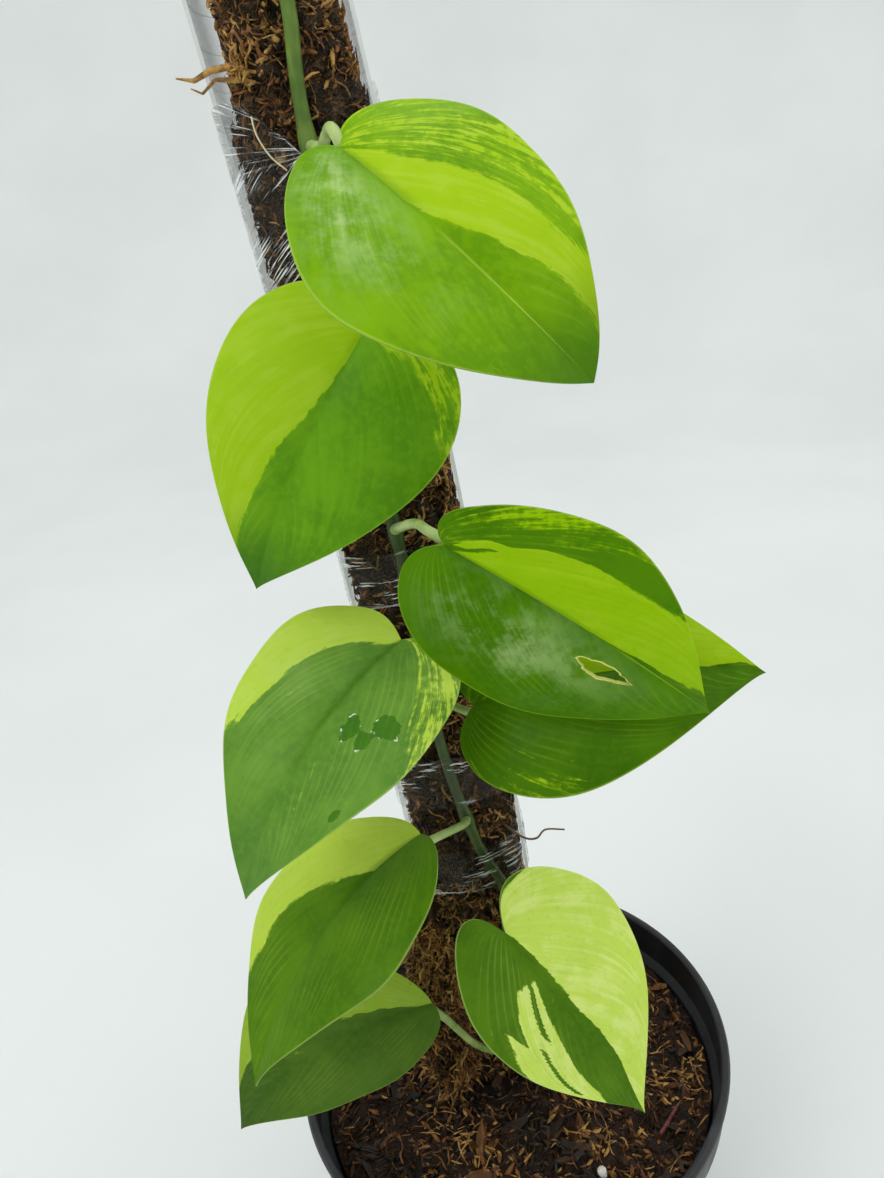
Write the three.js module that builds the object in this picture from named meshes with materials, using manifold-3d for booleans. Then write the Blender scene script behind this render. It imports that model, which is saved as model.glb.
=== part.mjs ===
// A climbing plant with eight variegated heart-shaped leaves, on a moss-filled clear pole in a round pot.
// Millimetres, +Z up. The origin is the centre of the pot's underside, and the leaves face -Y.

import * as THREE from 'three';
import { mergeVertices } from 'three/addons/utils/BufferGeometryUtils.js';
import Module from 'manifold-3d';

const wasm = await Module();
wasm.setup();

// Driving dimensions

const GAP = 0.3;
const MERGE = 1e-4;
const UP = new THREE.Vector3(0, 0, 1);

const POT = {
  height: 130,
  footRadius: 57,
  footRound: 1.5,
  shoulderRadius: 75.5,
  shoulder: 112,
  // How far the wall steps out above the shoulder, and how far up, outside and inside.
  outerStep: [2.3, 1],
  innerStep: [1, 3],
  rimRadius: 80,
  // The rolled lip from outside to inside: distance in from the rim's radius and down from its top.
  lip: [[0.6, 3.5], [0, 2.2], [0.5, 0.5], [1.6, 0], [2.8, 0.6], [3.2, 2]],
  wall: 1.6,
  floor: 2.5,
  innerRound: 2,
  segments: 36,
  drains: 6,
  drainRadius: 4,
  drainRing: 46,
  drainSides: 10,
};

const SOIL = {
  seed: 5,
  edge: 111,
  middle: 114.5,
  relief: 1.6,
  // The clods' waves: how fast they run along x and y, their phases and the second wave's height.
  clods: { first: [0.21, 0.19], phases: [1.1, -0.4], second: [0.43, -0.37], height: 0.6 },
  rings: [68, 60, 50, 40, 30, 20, 10],
  footRound: 3,
  chips: 38,
  chipReach: 64,
  chipLift: 0.6,
};

// Least size of a bark chip and how much more it can be: length, width and thickness. tilt is in radians.
const CHIP = { least: [9, 3, 2], more: [13, 4, 2.5], tilt: [0.9, 0.7] };

const POLE = {
  foot: 6,
  top: 515,
  halfWidth: 19,
  wall: 1,
  front: -2.5,
  arcCentre: 8,
  lean: -3.55,
  bow: -1.44,
  bowStart: 130,
  bowUnit: 100,
  arcSteps: 12,
  steps: 10,
};

const MOSS = {
  seed: 11,
  foot: 8,
  top: 506,
  frontDepth: 14.6,
  buriedDepth: 9.6,
  squareness: 3.2,
  relief: 1.3,
  topRelief: 5,
  // How far the closed top lies below the height given as top, before its relief.
  topFall: 3,
  // The clear strip between the moss and the channel's wall: on both sides low down, and more near the top.
  leftStrip: [1.4, 6],
  rightStrip: [0.4, 3],
  stripFrom: 425,
  stripTo: 500,
  // Where the moss comes out of the soil: from this far below the soil's edge to this far above its middle.
  emergeBelow: 12,
  emergeAbove: 6,
  soilDepth: 14,
  segments: 24,
  rowsInSoil: 2,
  rowsAbove: 34,
  // Share of a half turn to the front where the relief starts, past the channel's edges, and is full.
  reliefFrom: 0.56,
  reliefFull: 0.8,
};

// The waves of the moss's relief: how often round, how fast upwards, phase and height.
const SHAG = [
  { round: 5, up: 0.31, phase: 0, height: 0.5 },
  { round: 9, up: -0.47, phase: 1.3, height: 0.3 },
  { round: 3, up: 0.83, phase: 0, height: 0.3 },
];

// Tufts on the front of the moss: lowest place and spread upwards, half turns from the right and their
// spread, depth of the root, least reach and spread, fall and its spread.
const TUFTS = {
  count: 30,
  low: 135,
  spread: 362,
  turn: [0.2, 0.6],
  rooted: 4,
  reach: [7, 3.5],
  fall: [-6, 11],
  radius: 1.3,
  clearOfFilm: 9,
};

// The moss that hangs out at the foot of the pole, in front of the channel's left edge.
const SPILL = {
  centre: [-22.5, -8.2, 160],
  half: [10.5, 4.2, 42],
  relief: 0.16,
  // How fast the relief's waves run upwards and sideways.
  waves: [4, 30],
  tufts: 12,
  // The tufts' least height as a share of the half height, and its spread.
  tuftAt: [-0.8, 1.6],
  tuftFront: 1,
  tuftReach: [3, 3],
  tuftFall: [-5, 8],
  tuftRadius: 1.6,
};

// The tuft that sticks out on the left near the top: from, to and radius of its fibres.
const SIDE_TUFT = [
  { from: [-28, -4, 457], to: [-44, -5.5, 458], radius: 2.4 },
  { from: [-28, -4, 456], to: [-41, -6, 453.5], radius: 1.8 },
  { from: [-30, -3, 462], to: [-36, -5, 468], radius: 1.6 },
];

// A wiry root that leaves the moss on the right, at the lowest band of film.
const WIRE_ROOT = {
  route: [[6, 0, 234], [11, -9, 233.6], [16.6, -12.4, 233.2], [20.1, -12, 234.3], [27, -12, 233.2]],
  radius: 0.6,
};

const FILM = {
  thickness: 0.6,
  frontDepth: 9.8,
  relief: 0.35,
  segments: 28,
  rows: 2,
  slant: 1.5,
  // The creases: how often round, how fast upwards.
  creases: [7, 0.9],
  // The upper edge dips towards the petiole of leaf 1. The dip is deepest this many radians from the right,
  // on the way to the front.
  dipTurn: 1.15,
  dipPower: 4,
  // Lowest and highest edge of each band at the back, and how far the upper edge dips.
  bands: [
    { name: 'film_wrap_1', low: 408, high: 452, dip: 22 },
    { name: 'film_wrap_2', low: 321, high: 337, dip: 0 },
    { name: 'film_wrap_3', low: 249, high: 267, dip: 0 },
    { name: 'film_wrap_4', low: 214, high: 231, dip: 0 },
  ],
};

const STEM = {
  radius: 1.75,
  knuckle: 0.6,
  knuckleReach: 4,
  sides: 8,
  steps: 46,
  // The route on the face of the moss, from inside the soil to the growing tip.
  route: [
    [8, -9, 92], [8, -9, 130], [7.5, -9.2, 172], [6.5, -9.2, 205], [-2, -9, 232], [-8, -9, 268],
    [-10, -9, 302], [-11, -9, 336], [-13.5, -9, 388], [-16.5, -9, 445], [-15.5, -9, 469], [-18, -9, 494],
  ],
};

// A petiole leaves the stem along leave, and is seated under the blade a little past the cleft. approach and
// droop say how far behind and below the cleft it bends. It is thickest at both ends.
const PETIOLE = {
  radius: 1.25,
  flare: 1.25,
  waist: 1,
  sides: 7,
  steps: 9,
  leave: [0, -5, 2],
  leaveShare: 0.12,
  seated: 2.5,
  approach: 5,
  droop: 3,
};

const BLADE = {
  thickness: 0.8,
  rib: 0.9,
  columns: 10,
  rows: 14,
  lobeTurn: 0.084,
  midribPower: 1.6,
  marginPower: 1.1,
  dripPower: 10,
  // Waves along each margin, and where they start on the left and on the right.
  waves: 3,
  wavePhase: [2.6, 1],
};

// The direction that an unrolled blade faces: forward and up, towards the light.
const LIGHT = new THREE.Vector3(0, -0.8, 0.6);

// base and tip are the two ends of the midrib, roll turns the blade about the line between them, and
// arch bends the midrib (degrees). left and right are the half widths, sweep bows the midrib sideways,
// fold lifts both halves from the midrib and dome rounds them, belly moves the widest place, notch sets
// the depth of the heart's cleft and drip the slimness of the tip. node is the petiole's height on the stem,
// and via lists the places it passes where it takes a way of its own. raised brings its end nearer the blade
// where it comes up steeply.
const LEAVES = [
  {
    name: 'leaf_1', node: 440, base: [-8, -38, 437], tip: [37, -58, 385],
    via: [[-13, -17, 438.6], [-11, -26, 440.2], [-9.2, -34, 440.4]],
    roll: -12, left: 31.4, right: 29.2, arch: 49, sweep: -4.3,
    dome: 0.23, fold: 0.31, belly: 0.98, notch: 0.22, drip: -0.65, ripple: 0.5,
  },
  {
    name: 'leaf_2', node: 386, base: [-11, -23, 397], tip: [-50, -22, 336],
    roll: -8, left: 29.4, right: 32, arch: 50, sweep: -1,
    dome: 0.35, fold: 0.26, belly: 0.78, notch: 0.33, drip: 0.25, ripple: 0.6,
  },
  {
    name: 'leaf_3', node: 342, base: [1, -50, 351], tip: [63, -49, 294],
    via: [[-9.4, -28, 349.4], [-4.8, -39, 353.6], [-1.8, -45, 353.2]],
    roll: 44, left: 34.2, right: 24.5, arch: 26, sweep: 4,
    dome: 0.29, fold: 0.22, belly: 0.93, notch: 0.25, drip: 0.28, ripple: 0.6,
  },
  {
    name: 'leaf_4', node: 290, base: [3, -26, 293], tip: [84.5, -32, 293],
    roll: -7, left: 31, right: 30.7, arch: 50, sweep: 3.3,
    dome: 0.33, fold: 0.24, belly: 0.82, notch: 0.25, drip: 0.17, ripple: 0.6,
  },
  {
    name: 'leaf_5', node: 305, base: [-14, -22, 315], tip: [-64, -58, 264],
    roll: 13, left: 26.6, right: 29.5, arch: 56, sweep: -3.5,
    dome: 0.14, fold: 0.30, belly: 0.76, notch: 0.21, drip: 0.02, ripple: 1.2,
  },
  {
    name: 'leaf_6', node: 241, base: [-18, -28, 253], tip: [-73, -67, 206],
    roll: 39, left: 30.5, right: 28.4, arch: 44, sweep: -4.3,
    dome: 0.27, fold: 0.23, belly: 0.86, notch: 0.13, drip: 0.22, ripple: 0.8,
  },
  {
    name: 'leaf_7', node: 138, base: [-24, -30, 186], tip: [-94, -38, 151], raised: 1.8,
    via: [[-2, -15.5, 141], [-12.5, -17.5, 149], [-21.3, -24, 171.8]],
    roll: -14, left: 32.6, right: 22, arch: 26, sweep: -9.6,
    dome: 0.30, fold: 0.23, belly: 0.87, notch: 0.12, drip: 0.27, ripple: 0.6,
  },
  {
    name: 'leaf_8', node: 208, base: [3, -39, 220], tip: [39, -51, 148],
    via: [[7.2, -18, 207], [8.4, -31, 208.6]],
    roll: -14, left: 25.5, right: 33.9, arch: 11, sweep: 0.8,
    dome: 0.28, fold: 0.19, belly: 0.96, notch: 0.42, drip: 0.51, ripple: 0.8,
  },
];

// The torn slit in leaf 3: its place along and across the blade, its half length and half width.
// nearby is the step to the neighbouring places that give its direction.
const SLIT = {
  leaf: 'leaf_3',
  t: 0.71,
  s: -0.27,
  halfLength: 7.3,
  halfWidth: 1.7,
  turn: 4,
  depth: 12,
  points: 14,
  nearby: 0.05,
};

// The rolled leaf bends through bend, half way up, and leans to lean at its tip.
const NEW_LEAF = {
  length: 46,
  radius: 3,
  tipRadius: 0.5,
  bend: [1, -2],
  lean: [3, -9],
  start: 0.22,
  fullness: 0.8,
  steps: 10,
};

const ROOTS = {
  crown: 4,
  radius: 1.2,
  sides: 5,
  steps: 6,
  bendAt: 0.5,
  bendFall: 0.25,
  // Heading in degrees, length and fall of each root.
  runs: [[205, 40, 40], [250, 36, 56], [285, 44, 34], [335, 36, 48]],
};

// Materials

function finish(colour, roughness, metalness = 0, opacity = 1) {
  const transparent = opacity < 1;
  return new THREE.MeshStandardMaterial({ color: colour, roughness, metalness, opacity, transparent });
}

const FINISH = {
  pot: finish(0x17181a, 0.5),
  soil: finish(0x33231a, 0.95),
  moss: finish(0x5a4129, 0.95),
  channel: finish(0xe4e8e8, 0.12, 0, 0.3),
  film: finish(0xf2f5f5, 0.1, 0, 0.2),
  stem: finish(0x5d8435, 0.5),
  petiole: finish(0x93b562, 0.45),
  blade: finish(0x4d8a2c, 0.4),
  newLeaf: finish(0xa6c95a, 0.4),
  roots: finish(0xb59a6c, 0.8),
};

// Seeded random numbers from 0 to 1

function seeded(seed) {
  let state = seed;
  return () => {
    state = (state * 1664525 + 1013904223) % 4294967296;
    return state / 4294967296;
  };
}

// Solids: a closed geometry becomes a solid to join and cut, and comes back as a geometry

function solidOf(geometry) {
  const bare = new THREE.BufferGeometry();
  bare.setAttribute('position', geometry.getAttribute('position').clone());
  bare.setIndex(geometry.index);
  const merged = mergeVertices(bare, MERGE);
  const corners = merged.index.array;
  const triangles = [];
  for (let i = 0; i < corners.length; i += 3) {
    const [a, b, c] = [corners[i], corners[i + 1], corners[i + 2]];
    if (a !== b && b !== c && c !== a) {
      triangles.push(a, b, c);
    }
  }
  const mesh = new wasm.Mesh({
    numProp: 3,
    vertProperties: new Float32Array(merged.getAttribute('position').array),
    triVerts: new Uint32Array(triangles),
  });
  return new wasm.Manifold(mesh);
}

function geometryOf(solid) {
  const mesh = solid.getMesh();
  const geometry = new THREE.BufferGeometry();
  geometry.setAttribute('position', new THREE.BufferAttribute(new Float32Array(mesh.vertProperties), 3));
  geometry.setIndex(new THREE.BufferAttribute(new Uint32Array(mesh.triVerts), 1));
  geometry.computeVertexNormals();
  return geometry;
}

// Keeps the largest body of a solid that a cut has left in several pieces.
function largest(solid) {
  const bodies = solid.decompose();
  return bodies.reduce((best, body) => (body.volume() > best.volume() ? body : best));
}

// Moves every vertex of a geometry to where the rule puts it.
function warp(geometry, rule) {
  const positions = geometry.getAttribute('position');
  const point = new THREE.Vector3();
  for (let i = 0; i < positions.count; i += 1) {
    point.fromBufferAttribute(positions, i);
    rule(point);
    positions.setXYZ(i, point.x, point.y, point.z);
  }
  return geometry;
}

// A rod along a smooth route. It is drawn 1 mm in radius, then each ring gets its own radius.
function rod(route, radiusAt, sides, steps, taut = 0.5) {
  const path = new THREE.CatmullRomCurve3(route, false, 'catmullrom', taut);
  const circle = new THREE.Shape(new THREE.EllipseCurve(0, 0, 1, 1).getPoints(sides).slice(0, -1));
  const body = new THREE.ExtrudeGeometry(circle, { extrudePath: path, steps, bevelEnabled: false });
  const centres = path.getSpacedPoints(steps);
  return warp(body, (point) => {
    let nearest = 0;
    centres.forEach((centre, k) => {
      if (point.distanceToSquared(centre) < point.distanceToSquared(centres[nearest])) {
        nearest = k;
      }
    });
    const centre = centres[nearest];
    point.sub(centre).multiplyScalar(radiusAt(nearest / steps, centre)).add(centre);
  });
}

// A closed skin: the same grid drawn twice, with a strip round its edge.
function skin(columns, rows, under, over) {
  const grid = new THREE.PlaneGeometry(2, 1, columns, rows);
  const places = grid.getAttribute('position');
  const count = places.count;
  const points = new Float32Array(count * 6);
  for (let i = 0; i < count; i += 1) {
    const s = places.getX(i);
    const v = places.getY(i) + 0.5;
    under(s, v).toArray(points, i * 3);
    over(s, v).toArray(points, (count + i) * 3);
  }
  const faces = [...grid.index.array];
  for (let i = 0; i < grid.index.count; i += 3) {
    const [a, b, c] = [grid.index.getX(i), grid.index.getX(i + 1), grid.index.getX(i + 2)];
    faces.push(count + a, count + c, count + b);
  }
  const at = (i, j) => j * (columns + 1) + i;
  const edge = [];
  for (let i = 0; i < columns; i += 1) {
    edge.push(at(i, 0));
  }
  for (let j = 0; j < rows; j += 1) {
    edge.push(at(columns, j));
  }
  for (let i = columns; i > 0; i -= 1) {
    edge.push(at(i, rows));
  }
  for (let j = rows; j > 0; j -= 1) {
    edge.push(at(0, j));
  }
  edge.forEach((a, k) => {
    const b = edge[(k + 1) % edge.length];
    faces.push(a, b, count + b, a, count + b, count + a);
  });
  const geometry = new THREE.BufferGeometry();
  geometry.setAttribute('position', new THREE.BufferAttribute(points, 3));
  geometry.setIndex(faces);
  return geometry;
}

// Pole: where its centre line stands at a height

function poleCentre(z) {
  const rise = Math.max(0, z - POLE.bowStart) / POLE.bowUnit;
  return POLE.lean + POLE.bow * rise * rise;
}

// Blades

function bladeFrame(leaf) {
  const base = new THREE.Vector3(...leaf.base);
  const chord = new THREE.Vector3(...leaf.tip).sub(base);
  const reach = chord.length();
  chord.normalize();
  const facing = LIGHT.clone().addScaledVector(chord, -LIGHT.dot(chord)).normalize();
  facing.applyAxisAngle(chord, THREE.MathUtils.degToRad(leaf.roll));
  const side = new THREE.Vector3().crossVectors(facing, chord);
  return { base, chord, facing, side, reach };
}

// The midrib is an arc from base to tip. This gives its point, direction and normal at a share of its length.
function midrib(leaf, share) {
  const { base, chord, facing, side, reach } = bladeFrame(leaf);
  const arch = THREE.MathUtils.degToRad(leaf.arch);
  const radius = reach / (2 * Math.sin(arch / 2));
  const on = THREE.MathUtils.clamp(share, 0, 1);
  const pitch = arch * (0.5 - on);
  const before = Math.min(share, 0) * radius * arch;
  const forward = radius * (Math.sin(arch / 2) - Math.sin(pitch)) + before * Math.cos(pitch);
  const rise = radius * (Math.cos(pitch) - Math.cos(arch / 2)) + before * Math.sin(pitch);
  const point = base.clone().addScaledVector(chord, forward).addScaledVector(facing, rise);
  point.addScaledVector(side, leaf.sweep * 4 * on * (1 - on));
  const direction = chord.clone().multiplyScalar(Math.cos(pitch)).addScaledVector(facing, Math.sin(pitch));
  const normal = facing.clone().multiplyScalar(Math.cos(pitch)).addScaledVector(chord, -Math.sin(pitch));
  return { point, direction, normal, side };
}

// A point of the blade's upper face. t runs from the petiole to the tip, and s from the left margin at -1
// over the midrib at 0 to the right margin at 1.
function bladePoint(leaf, t, s, lift = 0) {
  const share = Math.abs(s);
  const marginAlong = t - leaf.notch * (1 - t - Math.exp(-t / BLADE.lobeTurn));
  const swell = Math.sin(Math.PI * t ** leaf.belly) ** BLADE.marginPower;
  const marginAcross = swell * (1 - leaf.drip * t ** BLADE.dripPower);
  const midribAlong = t ** BLADE.midribPower;
  const { point, normal, side } = midrib(leaf, midribAlong + (marginAlong - midribAlong) * share);
  const halfWidth = s > 0 ? leaf.right : leaf.left;
  const out = share * marginAcross;
  const phase = s > 0 ? BLADE.wavePhase[1] : BLADE.wavePhase[0];
  const wave = leaf.ripple * Math.sin(2 * Math.PI * BLADE.waves * t + phase) * share * out;
  const height = halfWidth * (leaf.fold * out - leaf.dome * out * out) + wave + lift;
  return point.addScaledVector(side, halfWidth * out * Math.sign(s)).addScaledVector(normal, height);
}

function bladeSkin(leaf, clearance = 0) {
  const along = (v) => 0.5 - 0.5 * Math.cos(Math.PI * v);
  const under = (s, v) => {
    const rib = Math.abs(s) < MERGE ? BLADE.rib * (1 - v) : 0;
    return bladePoint(leaf, along(v), s, -BLADE.thickness - rib - clearance);
  };
  const over = (s, v) => bladePoint(leaf, along(v), s, clearance);
  return skin(BLADE.columns, BLADE.rows, under, over);
}

function slitCutter(leaf) {
  const outline = new THREE.EllipseCurve(0, 0, SLIT.halfLength, SLIT.halfWidth).getPoints(SLIT.points);
  const cutter = new THREE.ExtrudeGeometry(new THREE.Shape(outline.slice(0, -1)), {
    depth: SLIT.depth,
    bevelEnabled: false,
  });
  const centre = bladePoint(leaf, SLIT.t, SLIT.s);
  const along = bladePoint(leaf, SLIT.t + SLIT.nearby, SLIT.s).sub(centre).normalize();
  const across = bladePoint(leaf, SLIT.t, SLIT.s + SLIT.nearby).sub(centre);
  const normal = new THREE.Vector3().crossVectors(along, across).normalize();
  along.applyAxisAngle(normal, THREE.MathUtils.degToRad(SLIT.turn));
  const turned = new THREE.Vector3().crossVectors(normal, along);
  const place = new THREE.Matrix4().makeBasis(along, turned, normal);
  place.setPosition(centre.addScaledVector(normal, -SLIT.depth / 2));
  return cutter.applyMatrix4(place);
}

function blade(leaf) {
  const body = solidOf(bladeSkin(leaf));
  if (leaf.name !== SLIT.leaf) {
    return body;
  }
  return body.subtract(solidOf(slitCutter(leaf)));
}

// Stem and petioles

const stemCurve = new THREE.CatmullRomCurve3(STEM.route.map((place) => new THREE.Vector3(...place)));

function stemPoint(z) {
  let low = 0;
  let high = 1;
  while (high - low > MERGE) {
    const middle = (low + high) / 2;
    if (stemCurve.getPoint(middle).z < z) {
      low = middle;
    } else {
      high = middle;
    }
  }
  return stemCurve.getPoint(low);
}

// The stem swells to a knuckle where each petiole leaves it.
function stemRadius(z) {
  const nearest = Math.min(...LEAVES.map((leaf) => Math.abs(leaf.node - z)));
  return STEM.radius + STEM.knuckle * Math.exp(-((nearest / STEM.knuckleReach) ** 2));
}

function stemRod(clearance = 0) {
  const route = STEM.route.map((place) => new THREE.Vector3(...place));
  route[0].z -= clearance;
  return solidOf(rod(route, (share, centre) => stemRadius(centre.z) + clearance, STEM.sides, STEM.steps));
}

// A petiole leaves the stem forwards and upwards, and bends in under the cleft of its blade.
function petioleRoute(leaf) {
  const start = stemPoint(leaf.node);
  const { point, direction, normal } = midrib(leaf, 0);
  const drop = BLADE.thickness + BLADE.rib + PETIOLE.radius + 2 * GAP - (leaf.raised ?? 0);
  const seat = point.clone().addScaledVector(direction, PETIOLE.seated).addScaledVector(normal, -drop);
  if (leaf.via) {
    return [start, ...leaf.via.map((stop) => new THREE.Vector3(...stop)), seat];
  }
  const arrive = point.clone().addScaledVector(direction, -PETIOLE.approach);
  arrive.addScaledVector(normal, -drop - PETIOLE.droop);
  const leave = start.clone().add(new THREE.Vector3(...PETIOLE.leave)).lerp(arrive, PETIOLE.leaveShare);
  return [start, leave, arrive, seat];
}

function petioleRod(leaf, clearance = 0) {
  const thickness = (share) => PETIOLE.flare - PETIOLE.waist * share * (1 - share);
  const radiusAt = (share) => PETIOLE.radius * thickness(share) + clearance;
  return solidOf(rod(petioleRoute(leaf), radiusAt, PETIOLE.sides, PETIOLE.steps));
}

const fatStem = stemRod(GAP);

function petiole(leaf) {
  const fatBlade = solidOf(bladeSkin(leaf, GAP));
  return largest(petioleRod(leaf).subtract(fatStem).subtract(fatBlade));
}

// The next leaf, still rolled, on the end of the stem.
function newLeaf() {
  const end = new THREE.Vector3(...STEM.route.at(-1));
  const start = end.clone().add(new THREE.Vector3(0, 0, GAP));
  const middle = start.clone().add(new THREE.Vector3(...NEW_LEAF.bend, NEW_LEAF.length / 2));
  const tip = start.clone().add(new THREE.Vector3(...NEW_LEAF.lean, NEW_LEAF.length));
  const turn = (share) => Math.PI * THREE.MathUtils.lerp(NEW_LEAF.start, 1, share);
  const swell = (share) => Math.sin(turn(share)) ** NEW_LEAF.fullness;
  const radiusAt = (share) => Math.max(NEW_LEAF.tipRadius, NEW_LEAF.radius * swell(share));
  return solidOf(rod([start, middle, tip], radiusAt, STEM.sides, NEW_LEAF.steps));
}

// Roots: a crown under the stem's foot, with runs through the soil

function roots(clearance = 0) {
  const crownRadius = ROOTS.crown + clearance;
  const centre = new THREE.Vector3(...STEM.route[0]);
  centre.z -= ROOTS.crown + GAP;
  const ball = new THREE.SphereGeometry(crownRadius, 8, 6);
  ball.rotateX(Math.PI / 2).translate(centre.x, centre.y, centre.z);
  let body = solidOf(ball);
  for (const [heading, length, fall] of ROOTS.runs) {
    const angle = THREE.MathUtils.degToRad(heading);
    const out = new THREE.Vector3(Math.cos(angle), Math.sin(angle), 0);
    const bend = centre.clone().addScaledVector(out, length * ROOTS.bendAt);
    bend.addScaledVector(UP, -fall * ROOTS.bendFall);
    const end = centre.clone().addScaledVector(out, length).addScaledVector(UP, -fall);
    end.addScaledVector(end.clone().sub(bend).normalize(), 2 * clearance);
    const run = rod([centre, bend, end], () => ROOTS.radius + clearance, ROOTS.sides, ROOTS.steps);
    body = body.add(solidOf(run));
  }
  return body;
}

// Channel: a D-shaped trough with its open side to the front

function channelOutline(margin) {
  const half = POLE.halfWidth + margin;
  const outline = [new THREE.Vector2(half, POLE.front - margin)];
  const arc = new THREE.EllipseCurve(0, POLE.arcCentre, half, half, 0, Math.PI);
  outline.push(...arc.getPoints(POLE.arcSteps));
  outline.push(new THREE.Vector2(-half, POLE.front - margin));
  return outline;
}

function upright(shape, foot, top, steps) {
  const body = new THREE.ExtrudeGeometry(shape, { depth: top - foot, steps, bevelEnabled: false });
  body.translate(0, 0, foot);
  return warp(body, (point) => {
    point.x += poleCentre(point.z);
  });
}

function channel() {
  const outer = channelOutline(0);
  const half = POLE.halfWidth - POLE.wall;
  const arc = new THREE.EllipseCurve(0, POLE.arcCentre, half, half, Math.PI, 0, true);
  const inner = [new THREE.Vector2(-half, POLE.front), ...arc.getPoints(POLE.arcSteps)];
  inner.push(new THREE.Vector2(half, POLE.front));
  return solidOf(upright(new THREE.Shape([...outer, ...inner]), POLE.foot, POLE.top, POLE.steps));
}

// Moss: fills the channel and stands proud of it at the front, shaggy

function shag(angle, z) {
  const heights = SHAG.map((wave) => wave.height * Math.sin(wave.round * angle + wave.up * z + wave.phase));
  return heights.reduce((sum, height) => sum + height);
}

function mossRadius(angle, z, clearance) {
  const side = POLE.halfWidth - POLE.wall - GAP + clearance;
  const [low, high] = Math.cos(angle) < 0 ? MOSS.leftStrip : MOSS.rightStrip;
  const upward = THREE.MathUtils.smoothstep(z, MOSS.stripFrom, MOSS.stripTo);
  const width = side - THREE.MathUtils.lerp(low, high, upward);
  if (Math.sin(angle) >= 0) {
    return 1 / Math.hypot(Math.cos(angle) / width, Math.sin(angle) / side);
  }
  const emerge = THREE.MathUtils.smoothstep(z, SOIL.edge - MOSS.emergeBelow, SOIL.middle + MOSS.emergeAbove);
  const depth = THREE.MathUtils.lerp(MOSS.buriedDepth, MOSS.frontDepth, emerge) + clearance;
  const across = (Math.abs(Math.cos(angle)) / width) ** MOSS.squareness;
  const forward = (Math.abs(Math.sin(angle)) / depth) ** MOSS.squareness;
  const plain = (across + forward) ** (-1 / MOSS.squareness);
  const proud = THREE.MathUtils.smoothstep(-Math.sin(angle), MOSS.reliefFrom, MOSS.reliefFull);
  return plain + MOSS.relief * emerge * shag(angle, z) * proud;
}

function mossColumn(clearance = 0) {
  const rows = MOSS.rowsInSoil + MOSS.rowsAbove;
  const body = new THREE.CylinderGeometry(1, 1, 1, MOSS.segments, rows);
  body.rotateX(Math.PI / 2);
  const soilTop = SOIL.middle - MOSS.soilDepth;
  return warp(body, (point) => {
    const row = (point.z + 0.5) * rows;
    const buried = Math.min(row / MOSS.rowsInSoil, 1);
    const shown = Math.max(row - MOSS.rowsInSoil, 0) / MOSS.rowsAbove;
    const z = MOSS.foot + (soilTop - MOSS.foot) * buried + (MOSS.top - soilTop) * shown;
    const angle = Math.atan2(point.y, point.x);
    const radius = Math.hypot(point.x, point.y) * mossRadius(angle, z, clearance);
    const rough = MOSS.topRelief * shag(2 * angle, 2 * point.x * POLE.halfWidth) - MOSS.topFall;
    const crest = shown === 1 ? rough : 0;
    point.set(poleCentre(z) + radius * Math.cos(angle), POLE.arcCentre + radius * Math.sin(angle), z + crest);
    if (row === 0) {
      point.z -= clearance;
    }
  });
}

function mossSpill(clearance = 0) {
  const lump = new THREE.SphereGeometry(1, 12, 10);
  const centre = new THREE.Vector3(...SPILL.centre);
  return solidOf(warp(lump, (point) => {
    const shape = 1 + SPILL.relief * shag(point.z * SPILL.waves[0], point.x * SPILL.waves[1]);
    point.multiply(new THREE.Vector3(SPILL.half[0] * shape, SPILL.half[1], SPILL.half[2] * shape));
    point.setLength(point.length() + clearance).add(centre);
  }));
}

// A slim pointed fibre from one place to another.
function fibre(from, to, radius) {
  const start = new THREE.Vector3(...from);
  const along = new THREE.Vector3(...to).sub(start);
  const cone = new THREE.ConeGeometry(radius, along.length(), 3);
  cone.translate(0, along.length() / 2, 0);
  const turn = new THREE.Quaternion().setFromUnitVectors(new THREE.Vector3(0, 1, 0), along.normalize());
  cone.applyQuaternion(turn);
  cone.translate(...from);
  return solidOf(cone);
}

function clearOfFilm(z) {
  return FILM.bands.every((band) => z < band.low - TUFTS.clearOfFilm || z > band.high + TUFTS.clearOfFilm);
}

// A chance number that starts at the first value and reaches up by the second.
function within([least, more], random) {
  return least + more * random();
}

function frontTuft(random) {
  const z = within([TUFTS.low, TUFTS.spread], random);
  const angle = -Math.PI * within(TUFTS.turn, random);
  const fall = within(TUFTS.fall, random);
  if (!clearOfFilm(z)) {
    return null;
  }
  const root = mossRadius(angle, z, 0) - TUFTS.rooted;
  const end = root + within(TUFTS.reach, random);
  const at = (radius, height) => [
    poleCentre(z) + radius * Math.cos(angle), POLE.arcCentre + radius * Math.sin(angle), height,
  ];
  return fibre(at(root, z), at(end, z + fall), TUFTS.radius);
}

function spillTuft(random) {
  const turn = 2 * Math.PI * random();
  const [x, y, middle] = SPILL.centre;
  const z = middle + SPILL.half[2] * within(SPILL.tuftAt, random);
  const reach = SPILL.half[0] + within(SPILL.tuftReach, random);
  const front = y - SPILL.tuftFront;
  const end = [
    x + reach * Math.cos(turn),
    front - SPILL.half[1] * Math.abs(Math.sin(turn)),
    z + within(SPILL.tuftFall, random),
  ];
  return fibre([x, front, z], end, SPILL.tuftRadius);
}

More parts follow.
